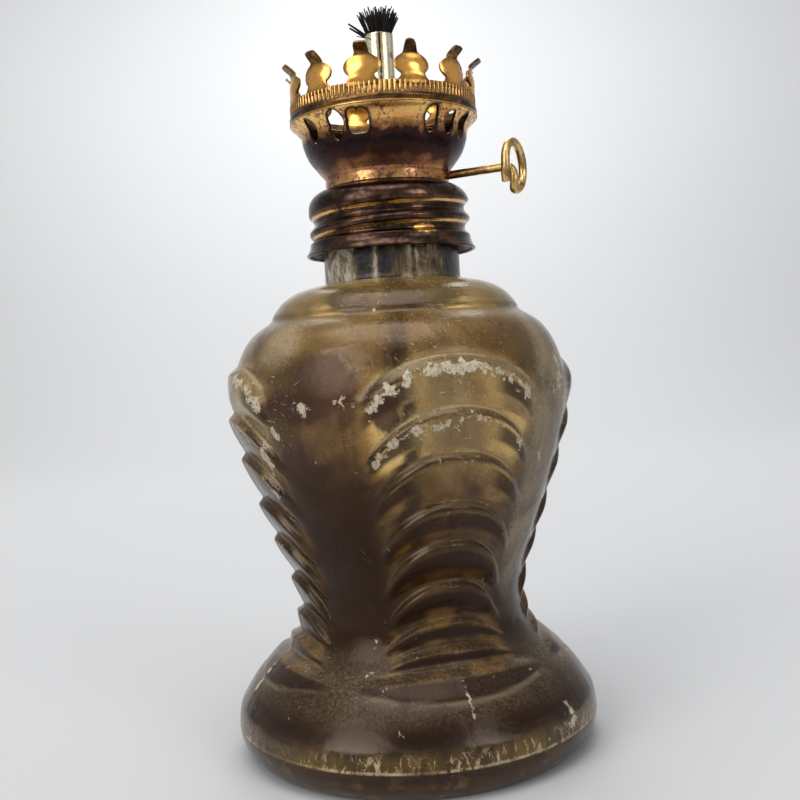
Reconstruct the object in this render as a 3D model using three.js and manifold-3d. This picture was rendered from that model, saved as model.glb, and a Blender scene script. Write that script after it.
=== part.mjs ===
// Miniature oil lamp without its chimney: a pressed-glass font with four ribbed panels, a brass
// screw cap on a helical thread, and a round-wick burner with a crown gallery and a wick winder.
// Millimetres, +Z up, origin at the centre of the font's underside. The winder lies along +X.
import * as THREE from 'three';
import { mergeVertices } from 'three/addons/utils/BufferGeometryUtils.js';
import Module from 'manifold-3d';

const wasm = await Module();
wasm.setup();

// ---- driving dimensions ----

const SIDES = 36;
const TURN = 2 * Math.PI;
const DEGREE = Math.PI / 180;
const GAP = 0.3;

// font: the outline of the body between the mould line and the neck, as [radius, height]
const BASE_RADIUS = 33;
const MOULD_LINE_Z = 5.5;
const FOOT_RADIUS = 29.2;
const BODY_OUTLINE = [
  [33.0, 5.5], [32.7, 8.0], [31.9, 9.8], [28.6, 14.2], [23.6, 18.0], [21.0, 21.6], [20.1, 26.0],
  [20.8, 31.0], [23.0, 37.2], [25.6, 44.5], [28.6, 54.0], [30.3, 61.0], [30.4, 65.5], [28.9, 71.2],
  [26.4, 75.2], [22.9, 77.7], [22.3, 78.9], [20.3, 81.3], [17.2, 83.0], [12.6, 83.8],
];
const NECK_RADIUS = 12.4;
const NECK_BASE_Z = 84.2;
const NECK_TOP_Z = 99;
const GLASS_WALL = 3.2;
const BORE_RADIUS = 10;

// rib arches on the four panels: the height of each crest at the panel's centre
const RIB_CRESTS = [71.2, 62.3, 54.7, 47.0, 40.1, 32.5, 26.3, 22.0, 18.7];
const RIB_HEIGHT = 1.0;
const RIB_DROP = 8;
const PANEL_COUNT = 4;
const PANEL_PHASE = 45 * DEGREE;
const PANEL_HALF_WIDTH = 28.5 * DEGREE;

// right-hand rolled thread shared by the neck and the cap
const PITCH = 3.5;
const THREAD_STEP = PITCH / 5;
const THREAD_BEAD_Z = 97.6;
const THREAD_BEAD_AZIMUTH = -62 * DEGREE;
const NECK_RIDGE_HEIGHT = 1.2;
const NECK_RIDGE_BOTTOM = 93.2;
const NECK_RIDGE_TOP = 98.3;

// screw cap, thin brass
const SHEET = 0.4;
const CAP_NOTCH_RADIUS = 13.75;
const CAP_BEAD_HEIGHT = 0.95;
const CAP_RIM_RADIUS = 15.5;
const CAP_RIM_Z = 89.2;
const CAP_SKIRT_Z = 92.0;
const CAP_TOP_Z = 100.9;
const CAP_HOLE_RADIUS = 10.2;

// burner
const SHELL_RADIUS = 11.25;
const SHELL_TOP_Z = 113.6;
const HOLE_Z = 110.3;
const HOLE_WIDTH = 2.7;
const HOLE_HEIGHT = 4.2;
const HOLE_PITCH = 16.5;
const WIDE_HOLE = { azimuth: -78.5, width: 3.9, height: 4.0 };
const PLAIN_HOLES = [-94.5, -117, -29.8, -13.3, 2.5];
const REAR_HOLE_GROUPS = [76.5, 166.5];
const TUBE_RADIUS = 2.6;
const TUBE_WALL = 0.35;
const TUBE_BOTTOM_Z = 97;
const TUBE_TOP_Z = 128.9;
const DECK_Z = 101.2;
const DECK_RADIUS = 10.5;

// crown gallery
const BAND_INNER_RADIUS = 16.4;
const BAND_RADIUS = 16.85;
const BEAD_RADIUS = 17.1;
const LEDGE_RADIUS = 14.6;
const LEDGE_Z = 115;
const BAND_TOP_Z = 116.5;
const BAND_BOTTOM_Z = 112.9;
const KNURL_TEETH = 36;
const KNURL_DEPTH = 0.3;
const PRONG_COUNT = 12;
const PRONG_PHASE = 17 * DEGREE;
const PRONG_THICKNESS = 0.4;

// wick winder: a bent wire with a toothed wheel beside the tube
const WIRE_RADIUS = 0.75;
const WINDER_Y = 3.9;
const WINDER_Z = 102.7;
const RING_X = 23.4;
const RING_RADIUS = 4.15;
const WHEEL_RADIUS = 2.2;
const WHEEL_ROOT_RADIUS = 1.65;
const WHEEL_TEETH = 9;
const WHEEL_THICKNESS = 0.8;

// wick
const WICK_RADIUS = 1.95;
const WICK_FLAT_Y = 1.4;
const WICK_BOTTOM_Z = 15;
const TUFT_TOP_Z = 133.2;
const TUFT_RADIUS = 3.4;

const MATERIALS = {
  glass: new THREE.MeshStandardMaterial({ color: 0x4f3b1c, roughness: 0.3, metalness: 0 }),
  brass: new THREE.MeshStandardMaterial({ color: 0xb07a34, roughness: 0.4, metalness: 1 }),
  agedBrass: new THREE.MeshStandardMaterial({ color: 0x5a4032, roughness: 0.5, metalness: 1 }),
  nickel: new THREE.MeshStandardMaterial({ color: 0xc4bfb0, roughness: 0.25, metalness: 1 }),
  cork: new THREE.MeshStandardMaterial({ color: 0x8a6a48, roughness: 0.9, metalness: 0 }),
  cotton: new THREE.MeshStandardMaterial({ color: 0x2a2320, roughness: 0.95, metalness: 0 }),
};

// ---- mesh and solid helpers ----

// Welds a geometry down to its positions and drops the triangles that close up at a pole.
function weld(geometry) {
  geometry.deleteAttribute('normal');
  geometry.deleteAttribute('uv');
  const merged = mergeVertices(geometry, 1e-5);
  const kept = [];
  const source = merged.index.array;
  for (let i = 0; i < source.length; i += 3) {
    const [a, b, c] = [source[i], source[i + 1], source[i + 2]];
    if (a !== b && b !== c && c !== a) kept.push(a, b, c);
  }
  merged.setIndex(kept);
  return merged;
}

function toSolid(geometry) {
  const welded = weld(geometry);
  return new wasm.Manifold(new wasm.Mesh({
    numProp: 3,
    vertProperties: new Float32Array(welded.attributes.position.array),
    triVerts: new Uint32Array(welded.index.array),
  }));
}

function toGeometry(solid) {
  const mesh = solid.getMesh();
  const geometry = new THREE.BufferGeometry();
  geometry.setAttribute('position', new THREE.BufferAttribute(mesh.vertProperties, 3));
  geometry.setIndex(new THREE.BufferAttribute(mesh.triVerts, 1));
  return geometry;
}

// Closed surface through rows of points around +Z. Each row gives [radius, height] at an azimuth.
function revolve(rows, sides, closed = false) {
  const positions = [];
  for (const row of rows) {
    for (let k = 0; k < sides; k += 1) {
      const azimuth = TURN * k / sides;
      const [radius, height] = row(azimuth);
      positions.push(radius * Math.cos(azimuth), radius * Math.sin(azimuth), height);
    }
  }
  const index = [];
  const bands = closed ? rows.length : rows.length - 1;
  for (let j = 0; j < bands; j += 1) {
    const lower = j * sides;
    const upper = ((j + 1) % rows.length) * sides;
    for (let k = 0; k < sides; k += 1) {
      const next = (k + 1) % sides;
      index.push(lower + k, lower + next, upper + next);
      index.push(lower + k, upper + next, upper + k);
    }
  }
  const geometry = new THREE.BufferGeometry();
  geometry.setAttribute('position', new THREE.Float32BufferAttribute(positions, 3));
  geometry.setIndex(index);
  return weld(geometry);
}

// Plain turned piece from [radius, height] points that run up the outside and down the inside.
function lathe(outline, sides = SIDES) {
  const points = outline.map(([radius, height]) => new THREE.Vector2(radius, height));
  const geometry = new THREE.LatheGeometry([...points, points[0].clone()], sides);
  geometry.rotateX(Math.PI / 2);
  return weld(geometry);
}

// Box from its lowest and highest corners.
function block(low, high) {
  const size = high.map((value, axis) => value - low[axis]);
  const geometry = new THREE.BoxGeometry(...size);
  geometry.translate(low[0] + size[0] / 2, low[1] + size[1] / 2, low[2] + size[2] / 2);
  return geometry;
}

// Cylinder along +X through (y, z), between two x positions.
function rodAlongX(radius, fromX, toX, y, z, sides = 16) {
  const geometry = new THREE.CylinderGeometry(radius, radius, toX - fromX, sides);
  geometry.rotateZ(-Math.PI / 2);
  geometry.translate((fromX + toX) / 2, y, z);
  return geometry;
}

// Smooth hump, 1 at the centre and 0 at half its width.
function hump(offset, halfWidth) {
  if (Math.abs(offset) >= halfWidth) return 0;
  return Math.cos(Math.PI * offset / (2 * halfWidth)) ** 2;
}

function piece(name, geometry, material) {
  const mesh = new THREE.Mesh(geometry, material);
  mesh.name = name;
  return mesh;
}

// ---- thread ----

// Axial distance from a height to the nearest bead of the thread's helix at an azimuth.
function threadOffset(azimuth, height) {
  const beadZ = THREAD_BEAD_Z + PITCH * (azimuth - THREAD_BEAD_AZIMUTH) / TURN;
  const turns = (height - beadZ) / PITCH;
  return (turns - Math.round(turns)) * PITCH;
}

// 1 between two heights, fading to 0 over a short run at each end.
function fadeBetween(height, low, high, run = 0.7) {
  const rise = THREE.MathUtils.smoothstep(height, low - run, low);
  const fall = 1 - THREE.MathUtils.smoothstep(height, high, high + run);
  return rise * fall;
}

function neckRadius(azimuth, height) {
  const ridge = hump(threadOffset(azimuth, height), 1.0);
  return NECK_RADIUS + NECK_RIDGE_HEIGHT * ridge * fadeBetween(height, NECK_RIDGE_BOTTOM, NECK_RIDGE_TOP);
}

// Outside of the cap's threaded wall. Its lowest groove runs out into the wider skirt.
function capRadius(azimuth, height) {
  const groove = 1 - hump(threadOffset(azimuth, height), 1.6);
  const threaded = THREE.MathUtils.smoothstep(height, CAP_SKIRT_Z - 0.6, CAP_SKIRT_Z + 0.3);
  return CAP_NOTCH_RADIUS + CAP_BEAD_HEIGHT * (1 - groove * threaded);
}

// ---- font ----

const bodyCurve = new THREE.SplineCurve(BODY_OUTLINE.map(([r, z]) => new THREE.Vector2(r, z)));
const bodySamples = bodyCurve.getPoints(300);

function bodyRadius(height) {
  for (let i = 1; i < bodySamples.length; i += 1) {
    const [low, high] = [bodySamples[i - 1], bodySamples[i]];
    if (height <= high.y) {
      const share = (height - low.y) / Math.max(high.y - low.y, 1e-6);
      return THREE.MathUtils.lerp(low.x, high.x, THREE.MathUtils.clamp(share, 0, 1));
    }
  }
  return NECK_RADIUS;
}

// How far an arch sinks between the panel's centre and its edge, by the height of its crest.
function archDrop(level) {
  const low = THREE.MathUtils.smoothstep(level, 12, 40);
  const high = 1 - THREE.MathUtils.smoothstep(level, 66, 77);
  return RIB_DROP * low * high;
}

function ribAt(level) {
  let height = 0;
  for (let j = 1; j < RIB_CRESTS.length; j += 1) {
    const halfWidth = 0.42 * (RIB_CRESTS[j - 1] - RIB_CRESTS[j]);
    height += hump(level - RIB_CRESTS[j], halfWidth);
  }
  return height;
}

// One row of the body: level is the height that the row has at a panel's centre.
function bodyRow(level) {
  return (azimuth) => {
    const spacing = TURN / PANEL_COUNT;
    const turns = (azimuth - PANEL_PHASE) / spacing;
    const fromCentre = Math.abs(turns - Math.round(turns)) * spacing;
    const share = Math.min(fromCentre / PANEL_HALF_WIDTH, 1);
    const height = level - archDrop(level) * share ** 2.2;
    const onPanel = 1 - THREE.MathUtils.smoothstep(share, 0.75, 1);
    return [bodyRadius(height) + RIB_HEIGHT * ribAt(level) * onPanel, height];
  };
}

function glassFont() {
  const plain = (radius, height) => () => [radius, height];
  const rows = [plain(0, 1), plain(20, 1), plain(22, 0), plain(FOOT_RADIUS - 1.5, 0)];
  for (const angle of [20, 50]) {
    const radius = FOOT_RADIUS + (BASE_RADIUS - FOOT_RADIUS) * Math.sin(angle * DEGREE);
    rows.push(plain(radius, MOULD_LINE_Z * (1 - Math.cos(angle * DEGREE))));
  }
  for (const level of [5.5, 8, 9.8, 12.4, 15.4]) rows.push(bodyRow(level));
  for (let j = RIB_CRESTS.length - 1; j > 0; j -= 1) {
    const spacing = RIB_CRESTS[j - 1] - RIB_CRESTS[j];
    rows.push(bodyRow(RIB_CRESTS[j]), bodyRow(RIB_CRESTS[j] + 0.4 * spacing));
  }
  for (const level of [67, 71.2, 75.2, 77.7, 79.2, 81.3, 83]) rows.push(bodyRow(level));
  rows.push(plain(NECK_RADIUS + 0.5, NECK_BASE_Z - 0.2), plain(NECK_RADIUS, NECK_BASE_Z + 0.4));
  for (let height = 91.9; height < NECK_TOP_Z - 0.2; height += THREAD_STEP) {
    rows.push((azimuth) => [neckRadius(azimuth, height), height]);
  }
  rows.push(plain(NECK_RADIUS - 0.4, NECK_TOP_Z), plain(BORE_RADIUS + 0.4, NECK_TOP_Z));
  rows.push(plain(BORE_RADIUS, NECK_TOP_Z - 0.8), plain(BORE_RADIUS, 84), plain(12.5, 81));
  for (const height of [78.5, 74, 68, 58, 48, 38, 30, 24, 18, 13]) {
    rows.push(plain(Math.min(bodyRadius(height) - GLASS_WALL, 29), height - 1.2));
  }
  rows.push(plain(26.5, 7.5), plain(22, 5), plain(0, 5.6));
  return revolve(rows, SIDES);
}

// ---- cap and gasket ----

function screwCap() {
  const plain = (radius, height) => () => [radius, height];
  const wall = (inset) => {
    const rows = [];
    for (let height = 91.2; height < 99.5; height += THREAD_STEP) {
      rows.push((azimuth) => [capRadius(azimuth, height) - inset, height]);
    }
    return rows;
  };
  const rows = [plain(CAP_RIM_RADIUS, CAP_RIM_Z), plain(CAP_RIM_RADIUS, CAP_RIM_Z + 0.4)];
  rows.push(...wall(0), plain(13.6, 99.9), plain(12.8, 100.5), plain(11.6, CAP_TOP_Z));
  rows.push(plain(CAP_HOLE_RADIUS, CAP_TOP_Z), plain(CAP_HOLE_RADIUS, CAP_TOP_Z - SHEET));
  rows.push(plain(11.5, CAP_TOP_Z - SHEET), plain(12.6, 100.1), plain(13.15, 99.7));
  rows.push(...wall(SHEET).reverse(), plain(CAP_RIM_RADIUS - 0.6, CAP_RIM_Z));
  return revolve(rows, SIDES, true);
}

function capGasket() {
  return lathe([[12.3, 99.3], [12.3, 100.15], [10.5, 100.15], [10.5, 99.3]]);
}

// ---- burner shell ----

// Oval or rounded cutter that points outward through the shell's wall.
function airHoleCutter(azimuthDegrees, width, height) {
  const outline = new THREE.Shape();
  outline.absellipse(0, 0, width / 2, height / 2, 0, TURN);
  const geometry = new THREE.ExtrudeGeometry(outline, { depth: 8, bevelEnabled: false, curveSegments: 5 });
  geometry.rotateX(Math.PI / 2);
  geometry.rotateZ(Math.PI / 2);
  geometry.rotateZ(azimuthDegrees * DEGREE);
  const start = 11;
  const azimuth = azimuthDegrees * DEGREE;
  geometry.translate(start * Math.cos(azimuth), start * Math.sin(azimuth), HOLE_Z);
  return toSolid(geometry);
}

function burnerShell() {
  const outside = [
    [SHELL_RADIUS, 101.2], [SHELL_RADIUS, 103.1], [12.4, 104.6], [14.0, 106.8], [14.8, 108.8],
    [15.1, 110.6], [16.0, 112.2], [16.1, SHELL_TOP_Z],
  ];
  const inside = outside.map(([radius, height]) => [radius - SHEET, height]).reverse();
  let solid = toSolid(lathe([...outside, ...inside]));
  for (const azimuth of PLAIN_HOLES) solid = solid.subtract(airHoleCutter(azimuth, HOLE_WIDTH, HOLE_HEIGHT));
  for (const centre of REAR_HOLE_GROUPS) {
    for (const step of [-1, 0, 1]) {
      solid = solid.subtract(airHoleCutter(centre + step * HOLE_PITCH, HOLE_WIDTH, HOLE_HEIGHT));
    }
  }
  solid = solid.subtract(airHoleCutter(WIDE_HOLE.azimuth, WIDE_HOLE.width, WIDE_HOLE.height));
  solid = solid.subtract(toSolid(rodAlongX(WIRE_RADIUS + GAP, 6, 14, WINDER_Y, WINDER_Z, 12)));
  return toGeometry(solid);
}

// ---- crown gallery ----

// Bent sheet prong with a waist, a round head and an out-turned tab, at azimuth 0.
function prong() {
  const stations = [
    [16.66, 116.1, 2.6], [16.66, 117.0, 2.3], [16.4, 117.7, 1.95], [16.15, 118.5, 2.5],
    [16.05, 119.8, 3.1], [16.2, 121.0, 2.5], [16.5, 121.7, 1.15], [17.2, 122.4, 1.1], [18.2, 123.1, 1.0],
  ];
  const across = [-1, 0, 1];
  const half = PRONG_THICKNESS / 2;
  const positions = [];
  for (const side of [1, -1]) {
    for (const [radius, height, halfWidth] of stations) {
      for (const share of across) {
        const angle = share * halfWidth / radius;
        const reach = radius + side * half;
        positions.push(reach * Math.cos(angle), reach * Math.sin(angle), height - side * half * 0.4);
      }
    }
  }
  const width = across.length;
  const count = stations.length * width;
  const index = [];
  const quad = (a, b, c, d) => index.push(a, b, c, a, c, d);
  for (let j = 0; j + 1 < stations.length; j += 1) {
    for (let k = 0; k + 1 < width; k += 1) {
      const corner = j * width + k;
      quad(corner, corner + 1, corner + width + 1, corner + width);
      quad(count + corner + width, count + corner + width + 1, count + corner + 1, count + corner);
    }
    const left = j * width;
    const right = left + width - 1;
    quad(left, left + width, count + left + width, count + left);
    quad(right + width, right, count + right, count + right + width);
  }
  const top = count - width;
  for (let k = 0; k + 1 < width; k += 1) {
    quad(k + 1, k, count + k, count + k + 1);
    quad(top + k, top + k + 1, count + top + k + 1, count + top + k);
  }
  const geometry = new THREE.BufferGeometry();
  geometry.setAttribute('position', new THREE.Float32BufferAttribute(positions, 3));
  geometry.setIndex(index);
  return geometry;
}

function crownGallery() {
  const segments = KNURL_TEETH * 2;
  const plain = (radius, height) => () => [radius, height];
  const toothed = (height) => (azimuth) => {
    const tooth = Math.round(azimuth * segments / TURN) % 2;
    return [BAND_RADIUS - tooth * KNURL_DEPTH, height];
  };
  const rows = [
    plain(BAND_INNER_RADIUS, BAND_BOTTOM_Z), plain(BEAD_RADIUS - 0.15, BAND_BOTTOM_Z),
    plain(BEAD_RADIUS, BAND_BOTTOM_Z + 0.8), plain(BAND_RADIUS, BAND_BOTTOM_Z + 1.5),
    toothed(BAND_BOTTOM_Z + 1.6), toothed(BAND_TOP_Z), plain(BAND_INNER_RADIUS, BAND_TOP_Z),
    plain(BAND_INNER_RADIUS, LEDGE_Z), plain(LEDGE_RADIUS, LEDGE_Z),
    plain(LEDGE_RADIUS, LEDGE_Z - SHEET), plain(BAND_INNER_RADIUS, LEDGE_Z - SHEET),
  ];
  let solid = toSolid(revolve(rows, segments, true));
  for (let k = 0; k < PRONG_COUNT; k += 1) {
    const blade = prong();
    blade.rotateZ(PRONG_PHASE + TURN * k / PRONG_COUNT);
    solid = solid.add(toSolid(blade));
  }
  return toGeometry(solid);
}

// ---- tube, deck and bracket ----

function wickTube() {
  const inner = TUBE_RADIUS - TUBE_WALL;
  const tube = toSolid(lathe([
    [TUBE_RADIUS, TUBE_BOTTOM_Z], [TUBE_RADIUS, TUBE_TOP_Z - 0.3], [TUBE_RADIUS - 0.15, TUBE_TOP_Z],
    [inner, TUBE_TOP_Z], [inner, TUBE_BOTTOM_Z],
  ], 24));
  const slotHalf = WHEEL_THICKNESS / 2 + GAP;
  const reach = WHEEL_RADIUS + GAP;
  const slot = toSolid(block([-slotHalf, 1, WINDER_Z - reach], [slotHalf, 4, WINDER_Z + reach]));
  return toGeometry(tube.subtract(slot));
}

function burnerDeck() {
  const plate = toSolid(lathe([
    [DECK_RADIUS, DECK_Z], [DECK_RADIUS, DECK_Z + SHEET],
    [TUBE_RADIUS + GAP, DECK_Z + SHEET], [TUBE_RADIUS + GAP, DECK_Z],
  ]));
  const slotHalf = WHEEL_THICKNESS / 2 + GAP;
  const slot = toSolid(block([-slotHalf, 1, DECK_Z - 1], [slotHalf, WINDER_Y + 2.6, DECK_Z + 1]));
  const vent = new THREE.CylinderGeometry(0.9, 0.9, 3, 10);
  vent.rotateX(Math.PI / 2);
  vent.translate(-6.5, -2, DECK_Z);
  return toGeometry(plate.subtract(slot).subtract(toSolid(vent)));
}

// Two hooked ears on a back plate that hold the winder down on both sides of its wheel.
function winderBracket() {
  const bottom = DECK_Z + SHEET + GAP;
  const top = WINDER_Z + 2.2;
  const back = WINDER_Y + 3;
  const ears = [-2.0, 1.6].map((x) => toSolid(block([x, 2.9, bottom], [x + 0.4, back, top])));
  const plate = toSolid(block([-2.0, back - 0.4, bottom], [2.0, back, top]));
  const clear = WIRE_RADIUS + GAP;
  const bore = toSolid(rodAlongX(clear, -4, 4, WINDER_Y, WINDER_Z, 12));
  const mouth = toSolid(block([-4, 2, bottom - 1], [4, WINDER_Y + clear, WINDER_Z + 0.2]));
  return toGeometry(ears[0].add(ears[1]).add(plate).subtract(bore).subtract(mouth));
}

// ---- winder ----

// Straight stem, a tight bend down, and then a ring of the same wire, square to the stem.
function winderPath() {
  const points = [];
  for (const x of [-3.4, 3, 9, 15, 19.5, RING_X - 2]) points.push([x, WINDER_Y, WINDER_Z]);
  points.push([RING_X - 0.6, WINDER_Y, WINDER_Z - 0.35], [RING_X + 0.35, WINDER_Y - 0.1, WINDER_Z - 1.5]);
  points.push([RING_X + 0.5, WINDER_Y - 0.3, WINDER_Z - 3.0]);
  for (let angle = -80; angle <= 215; angle += 29.5) {
    const y = WINDER_Y + RING_RADIUS * Math.cos(angle * DEGREE);
    const z = WINDER_Z + RING_RADIUS * Math.sin(angle * DEGREE);
    points.push([RING_X, y, z]);
  }
  return new THREE.CatmullRomCurve3(points.map((point) => new THREE.Vector3(...point)));
}

function winderSpindle() {
  const section = new THREE.Shape();
  section.absarc(0, 0, WIRE_RADIUS, 0, TURN);
  return weld(new THREE.ExtrudeGeometry(section, {
    steps: 42, extrudePath: winderPath(), curveSegments: 5, bevelEnabled: false,
  }));
}

function spurWheel() {
  const outline = new THREE.Shape();
  const points = WHEEL_TEETH * 2;
  for (let k = 0; k <= points; k += 1) {
    const radius = k % 2 === 0 ? WHEEL_RADIUS : WHEEL_ROOT_RADIUS;
    const angle = TURN * k / points;
    if (k === 0) outline.moveTo(radius, 0);
    else outline.lineTo(radius * Math.cos(angle), radius * Math.sin(angle));
  }
  const bore = new THREE.Path();
  bore.absarc(0, 0, WIRE_RADIUS + GAP, 0, TURN, true);
  outline.holes.push(bore);
  const geometry = new THREE.ExtrudeGeometry(outline, {
    depth: WHEEL_THICKNESS, curveSegments: 6, bevelEnabled: false,
  });
  geometry.rotateY(Math.PI / 2);
  geometry.translate(-WHEEL_THICKNESS / 2, WINDER_Y, WINDER_Z);
  return weld(geometry);
}

// ---- wick ----

// Round cotton wick, pressed flat on the wheel's side, with a frayed and charred tuft on top.
function cottonWick() {
  const row = (radius, height) => (azimuth) => {
    const flat = Math.sin(azimuth) * radius > WICK_FLAT_Y && radius <= WICK_RADIUS;
    return [flat ? WICK_FLAT_Y / Math.sin(azimuth) : radius, height];
  };
  const rows = [row(0, WICK_BOTTOM_Z), row(WICK_RADIUS, WICK_BOTTOM_Z), row(WICK_RADIUS, 60)];
  rows.push(row(WICK_RADIUS, TUBE_TOP_Z + GAP), row(2.7, 130.6), row(TUFT_RADIUS, 132.4));
  rows.push(row(TUFT_RADIUS - 0.9, TUFT_TOP_Z), row(0, TUFT_TOP_Z));
  return revolve(rows, 16);
}

// ---- assembly ----

const font = new THREE.Group();
font.add(piece('glass_font', glassFont(), MATERIALS.glass));

const burner = new THREE.Group();
burner.add(piece('screw_cap', screwCap(), MATERIALS.agedBrass));
burner.add(piece('cap_gasket', capGasket(), MATERIALS.cork));
burner.add(piece('burner_deck', burnerDeck(), MATERIALS.brass));
burner.add(piece('burner_shell', burnerShell(), MATERIALS.brass));
burner.add(piece('crown_gallery', crownGallery(), MATERIALS.brass));
burner.add(piece('wick_tube', wickTube(), MATERIALS.nickel));
burner.add(piece('winder_bracket', winderBracket(), MATERIALS.brass));

const winder = new THREE.Group();
winder.add(piece('winder_spindle', winderSpindle(), MATERIALS.brass));
winder.add(piece('spur_wheel', spurWheel(), MATERIALS.brass));

const wick = new THREE.Group();
wick.add(piece('wick', cottonWick(), MATERIALS.cotton));

const lamp = new THREE.Group();
lamp.add(font, burner, winder, wick);

export default lamp;
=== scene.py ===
"""Looks of a miniature oil lamp: lacquered ribbed glass font, aged brass burner, frayed wick.

Shapes are worked out in millimetres in the frame's own axes and turned into metres when a mesh is
made. The winder points along +X, and the camera stands CAMERA_AZIMUTH round from the front.
"""
import math
import random

import bmesh
import bpy
import numpy as np
from mathutils import Matrix, Vector, noise


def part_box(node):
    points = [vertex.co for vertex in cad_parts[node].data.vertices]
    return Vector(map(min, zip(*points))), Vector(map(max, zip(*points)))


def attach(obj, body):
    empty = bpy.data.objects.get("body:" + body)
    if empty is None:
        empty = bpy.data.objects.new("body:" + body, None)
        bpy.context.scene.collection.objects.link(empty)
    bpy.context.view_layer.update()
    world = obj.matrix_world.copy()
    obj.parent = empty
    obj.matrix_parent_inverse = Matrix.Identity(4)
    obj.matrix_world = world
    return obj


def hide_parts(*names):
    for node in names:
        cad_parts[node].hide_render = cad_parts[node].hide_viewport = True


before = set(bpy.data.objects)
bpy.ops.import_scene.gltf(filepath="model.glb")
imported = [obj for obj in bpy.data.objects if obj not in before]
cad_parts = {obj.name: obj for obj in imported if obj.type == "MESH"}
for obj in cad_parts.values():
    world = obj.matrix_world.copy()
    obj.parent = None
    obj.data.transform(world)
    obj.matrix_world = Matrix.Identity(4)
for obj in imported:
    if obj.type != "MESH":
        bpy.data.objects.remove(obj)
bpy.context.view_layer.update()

MM = 0.001
TURN = 2 * math.pi


def box_mm(node):
    """Lowest and highest corners of a CAD node, in millimetres."""
    low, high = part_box(node)
    return low / MM, high / MM


# ---- driving dimensions, in millimetres ----

FONT_HIGH = box_mm("glass_font")[1]
CAP_LOW, CAP_HIGH = box_mm("screw_cap")
SHELL_LOW = box_mm("burner_shell")[0]
CROWN_LOW = box_mm("crown_gallery")[0]
TUBE_LOW, TUBE_HIGH = box_mm("wick_tube")
WICK_LOW, WICK_HIGH = box_mm("wick")

# font
BASE_RADIUS = FONT_HIGH.x
NECK_TOP = FONT_HIGH.z
MOULD_LINE = 5.5
FOOT_RADIUS = BASE_RADIUS - 3.8
BODY_OUTLINE = [
    (BASE_RADIUS, MOULD_LINE), (32.7, 8.0), (31.9, 9.8), (28.6, 14.2), (23.6, 18.0), (21.0, 21.6),
    (20.1, 26.0), (20.8, 31.0), (23.0, 37.2), (25.6, 44.5), (28.6, 54.0), (30.3, 61.0), (30.4, 65.5),
    (28.9, 71.2), (26.4, 75.2), (22.9, 77.7), (22.3, 78.9), (20.3, 81.3), (17.2, 83.0), (12.6, 83.8),
]
NECK_RADIUS = 12.4
NECK_BASE = 84.2
GLASS_WALL = 3.2
FONT_SIDES = 224
BORE_RADIUS = 10
RIB_CRESTS = [68.8, 60.7, 53.5, 45.3, 38.7, 31.5, 25.4, 21.1, 17.8]
LAST_RIB_FOOT = 13.6
RIB_HEIGHT = 1.25
RIB_DROP = 8
RIB_RISE = 1.65
PANEL_COUNT = 4
PANEL_PHASE = math.radians(45)
PANEL_HALF_WIDTH = math.radians(29)

# thread and cap
PITCH = 3.5
BEAD_Z = 97.6
BEAD_AZIMUTH = math.radians(-62)
NECK_RIDGE = 1.2
SHEET = 0.4
CAP_NOTCH_RADIUS = 13.75
CAP_BEAD = 0.95
CAP_RIM_RADIUS = CAP_HIGH.x
CAP_RIM = CAP_LOW.z
CAP_SKIRT = CAP_RIM + 2.8
CAP_TOP = CAP_HIGH.z
CAP_HOLE_RADIUS = 10.2
CAP_SHOULDER = 97.6
CAP_SHOULDER_CENTRE = 11.0
CAP_SCRATCH_AZIMUTH = math.radians(-36)
CAP_SIDES = 300

# burner
SHELL_RADIUS = 11.25
SHELL_SIDES = 432
SHELL_OUTLINE = [
    (SHELL_RADIUS, SHELL_LOW.z), (SHELL_RADIUS, 102.2), (SHELL_RADIUS, 103.1), (11.6, 103.7),
    (12.5, 104.8), (14.0, 106.8), (14.8, 108.8), (15.05, 110.0), (15.15, 110.7), (15.55, 111.4),
    (16.15, 112.1), (16.75, 112.62), (16.98, 112.84),
]
HOLE_Z = 110.3
HOLE_WALL_RADIUS = 15.4
# air holes as azimuth in degrees, width, height, squareness, raggedness, raised lip
AIR_HOLES = [
    (-78.5, 4.0, 4.0, 3.4, 0.03, 0.16), (-94.5, 3.0, 4.4, 2.2, 0.26, 0.06),
    (-117.0, 2.6, 4.1, 2.2, 0.06, 0.05), (-29.8, 2.6, 4.2, 2.3, 0.02, 0.24),
    (-13.3, 2.4, 3.6, 2.6, 0.08, 0.06), (2.5, 2.7, 4.1, 2.2, 0.06, 0.05),
]
REAR_GROUPS = (76.5, 166.5)
HOLE_PITCH = 16.5
# where to look for cut-outs: height from a hole's centre, radians round it, and the top of the stem's exit
HOLE_ZONE = 4.0
HOLE_SPREAD = 0.35
WINDER_ZONE_TOP = 104.3
LEDGE_RADIUS = 14.6
LEDGE_Z = 115.0
BAND_INNER = 16.4
BAND_RADIUS = 16.85
BEAD_RADIUS = 17.1
BAND_BOTTOM = CROWN_LOW.z
BAND_TOP = 116.5
KNURL_TEETH = 120
PRONG_COUNT = 12
PRONG_PHASE = math.radians(17)
PRONG_SHEET = 0.42
PRONG_BEVEL = 0.07
PRONG_FOOT_RADIUS = 16.62
PRONG_CURVE_RADIUS = 16.6
FOLDED_PRONG = 10

# winder, tube and wick
WIRE_RADIUS = 0.75
WINDER_HOLE_RADIUS = 0.95
WINDER_Y = 3.9
WINDER_Z = 102.7
RING_X = 23.4
RING_RADIUS = 4.15
TUBE_RADIUS = TUBE_HIGH.x
TUBE_BORE = TUBE_RADIUS - 0.35
TUBE_SEAM_AZIMUTH = math.radians(-60)
TUBE_SIDES = 120
WICK_RADIUS = 1.95
TUFT_STRANDS = 130
TUFT_ROOT_RADIUS = 1.75
TAIL_STRANDS = 40
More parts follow.
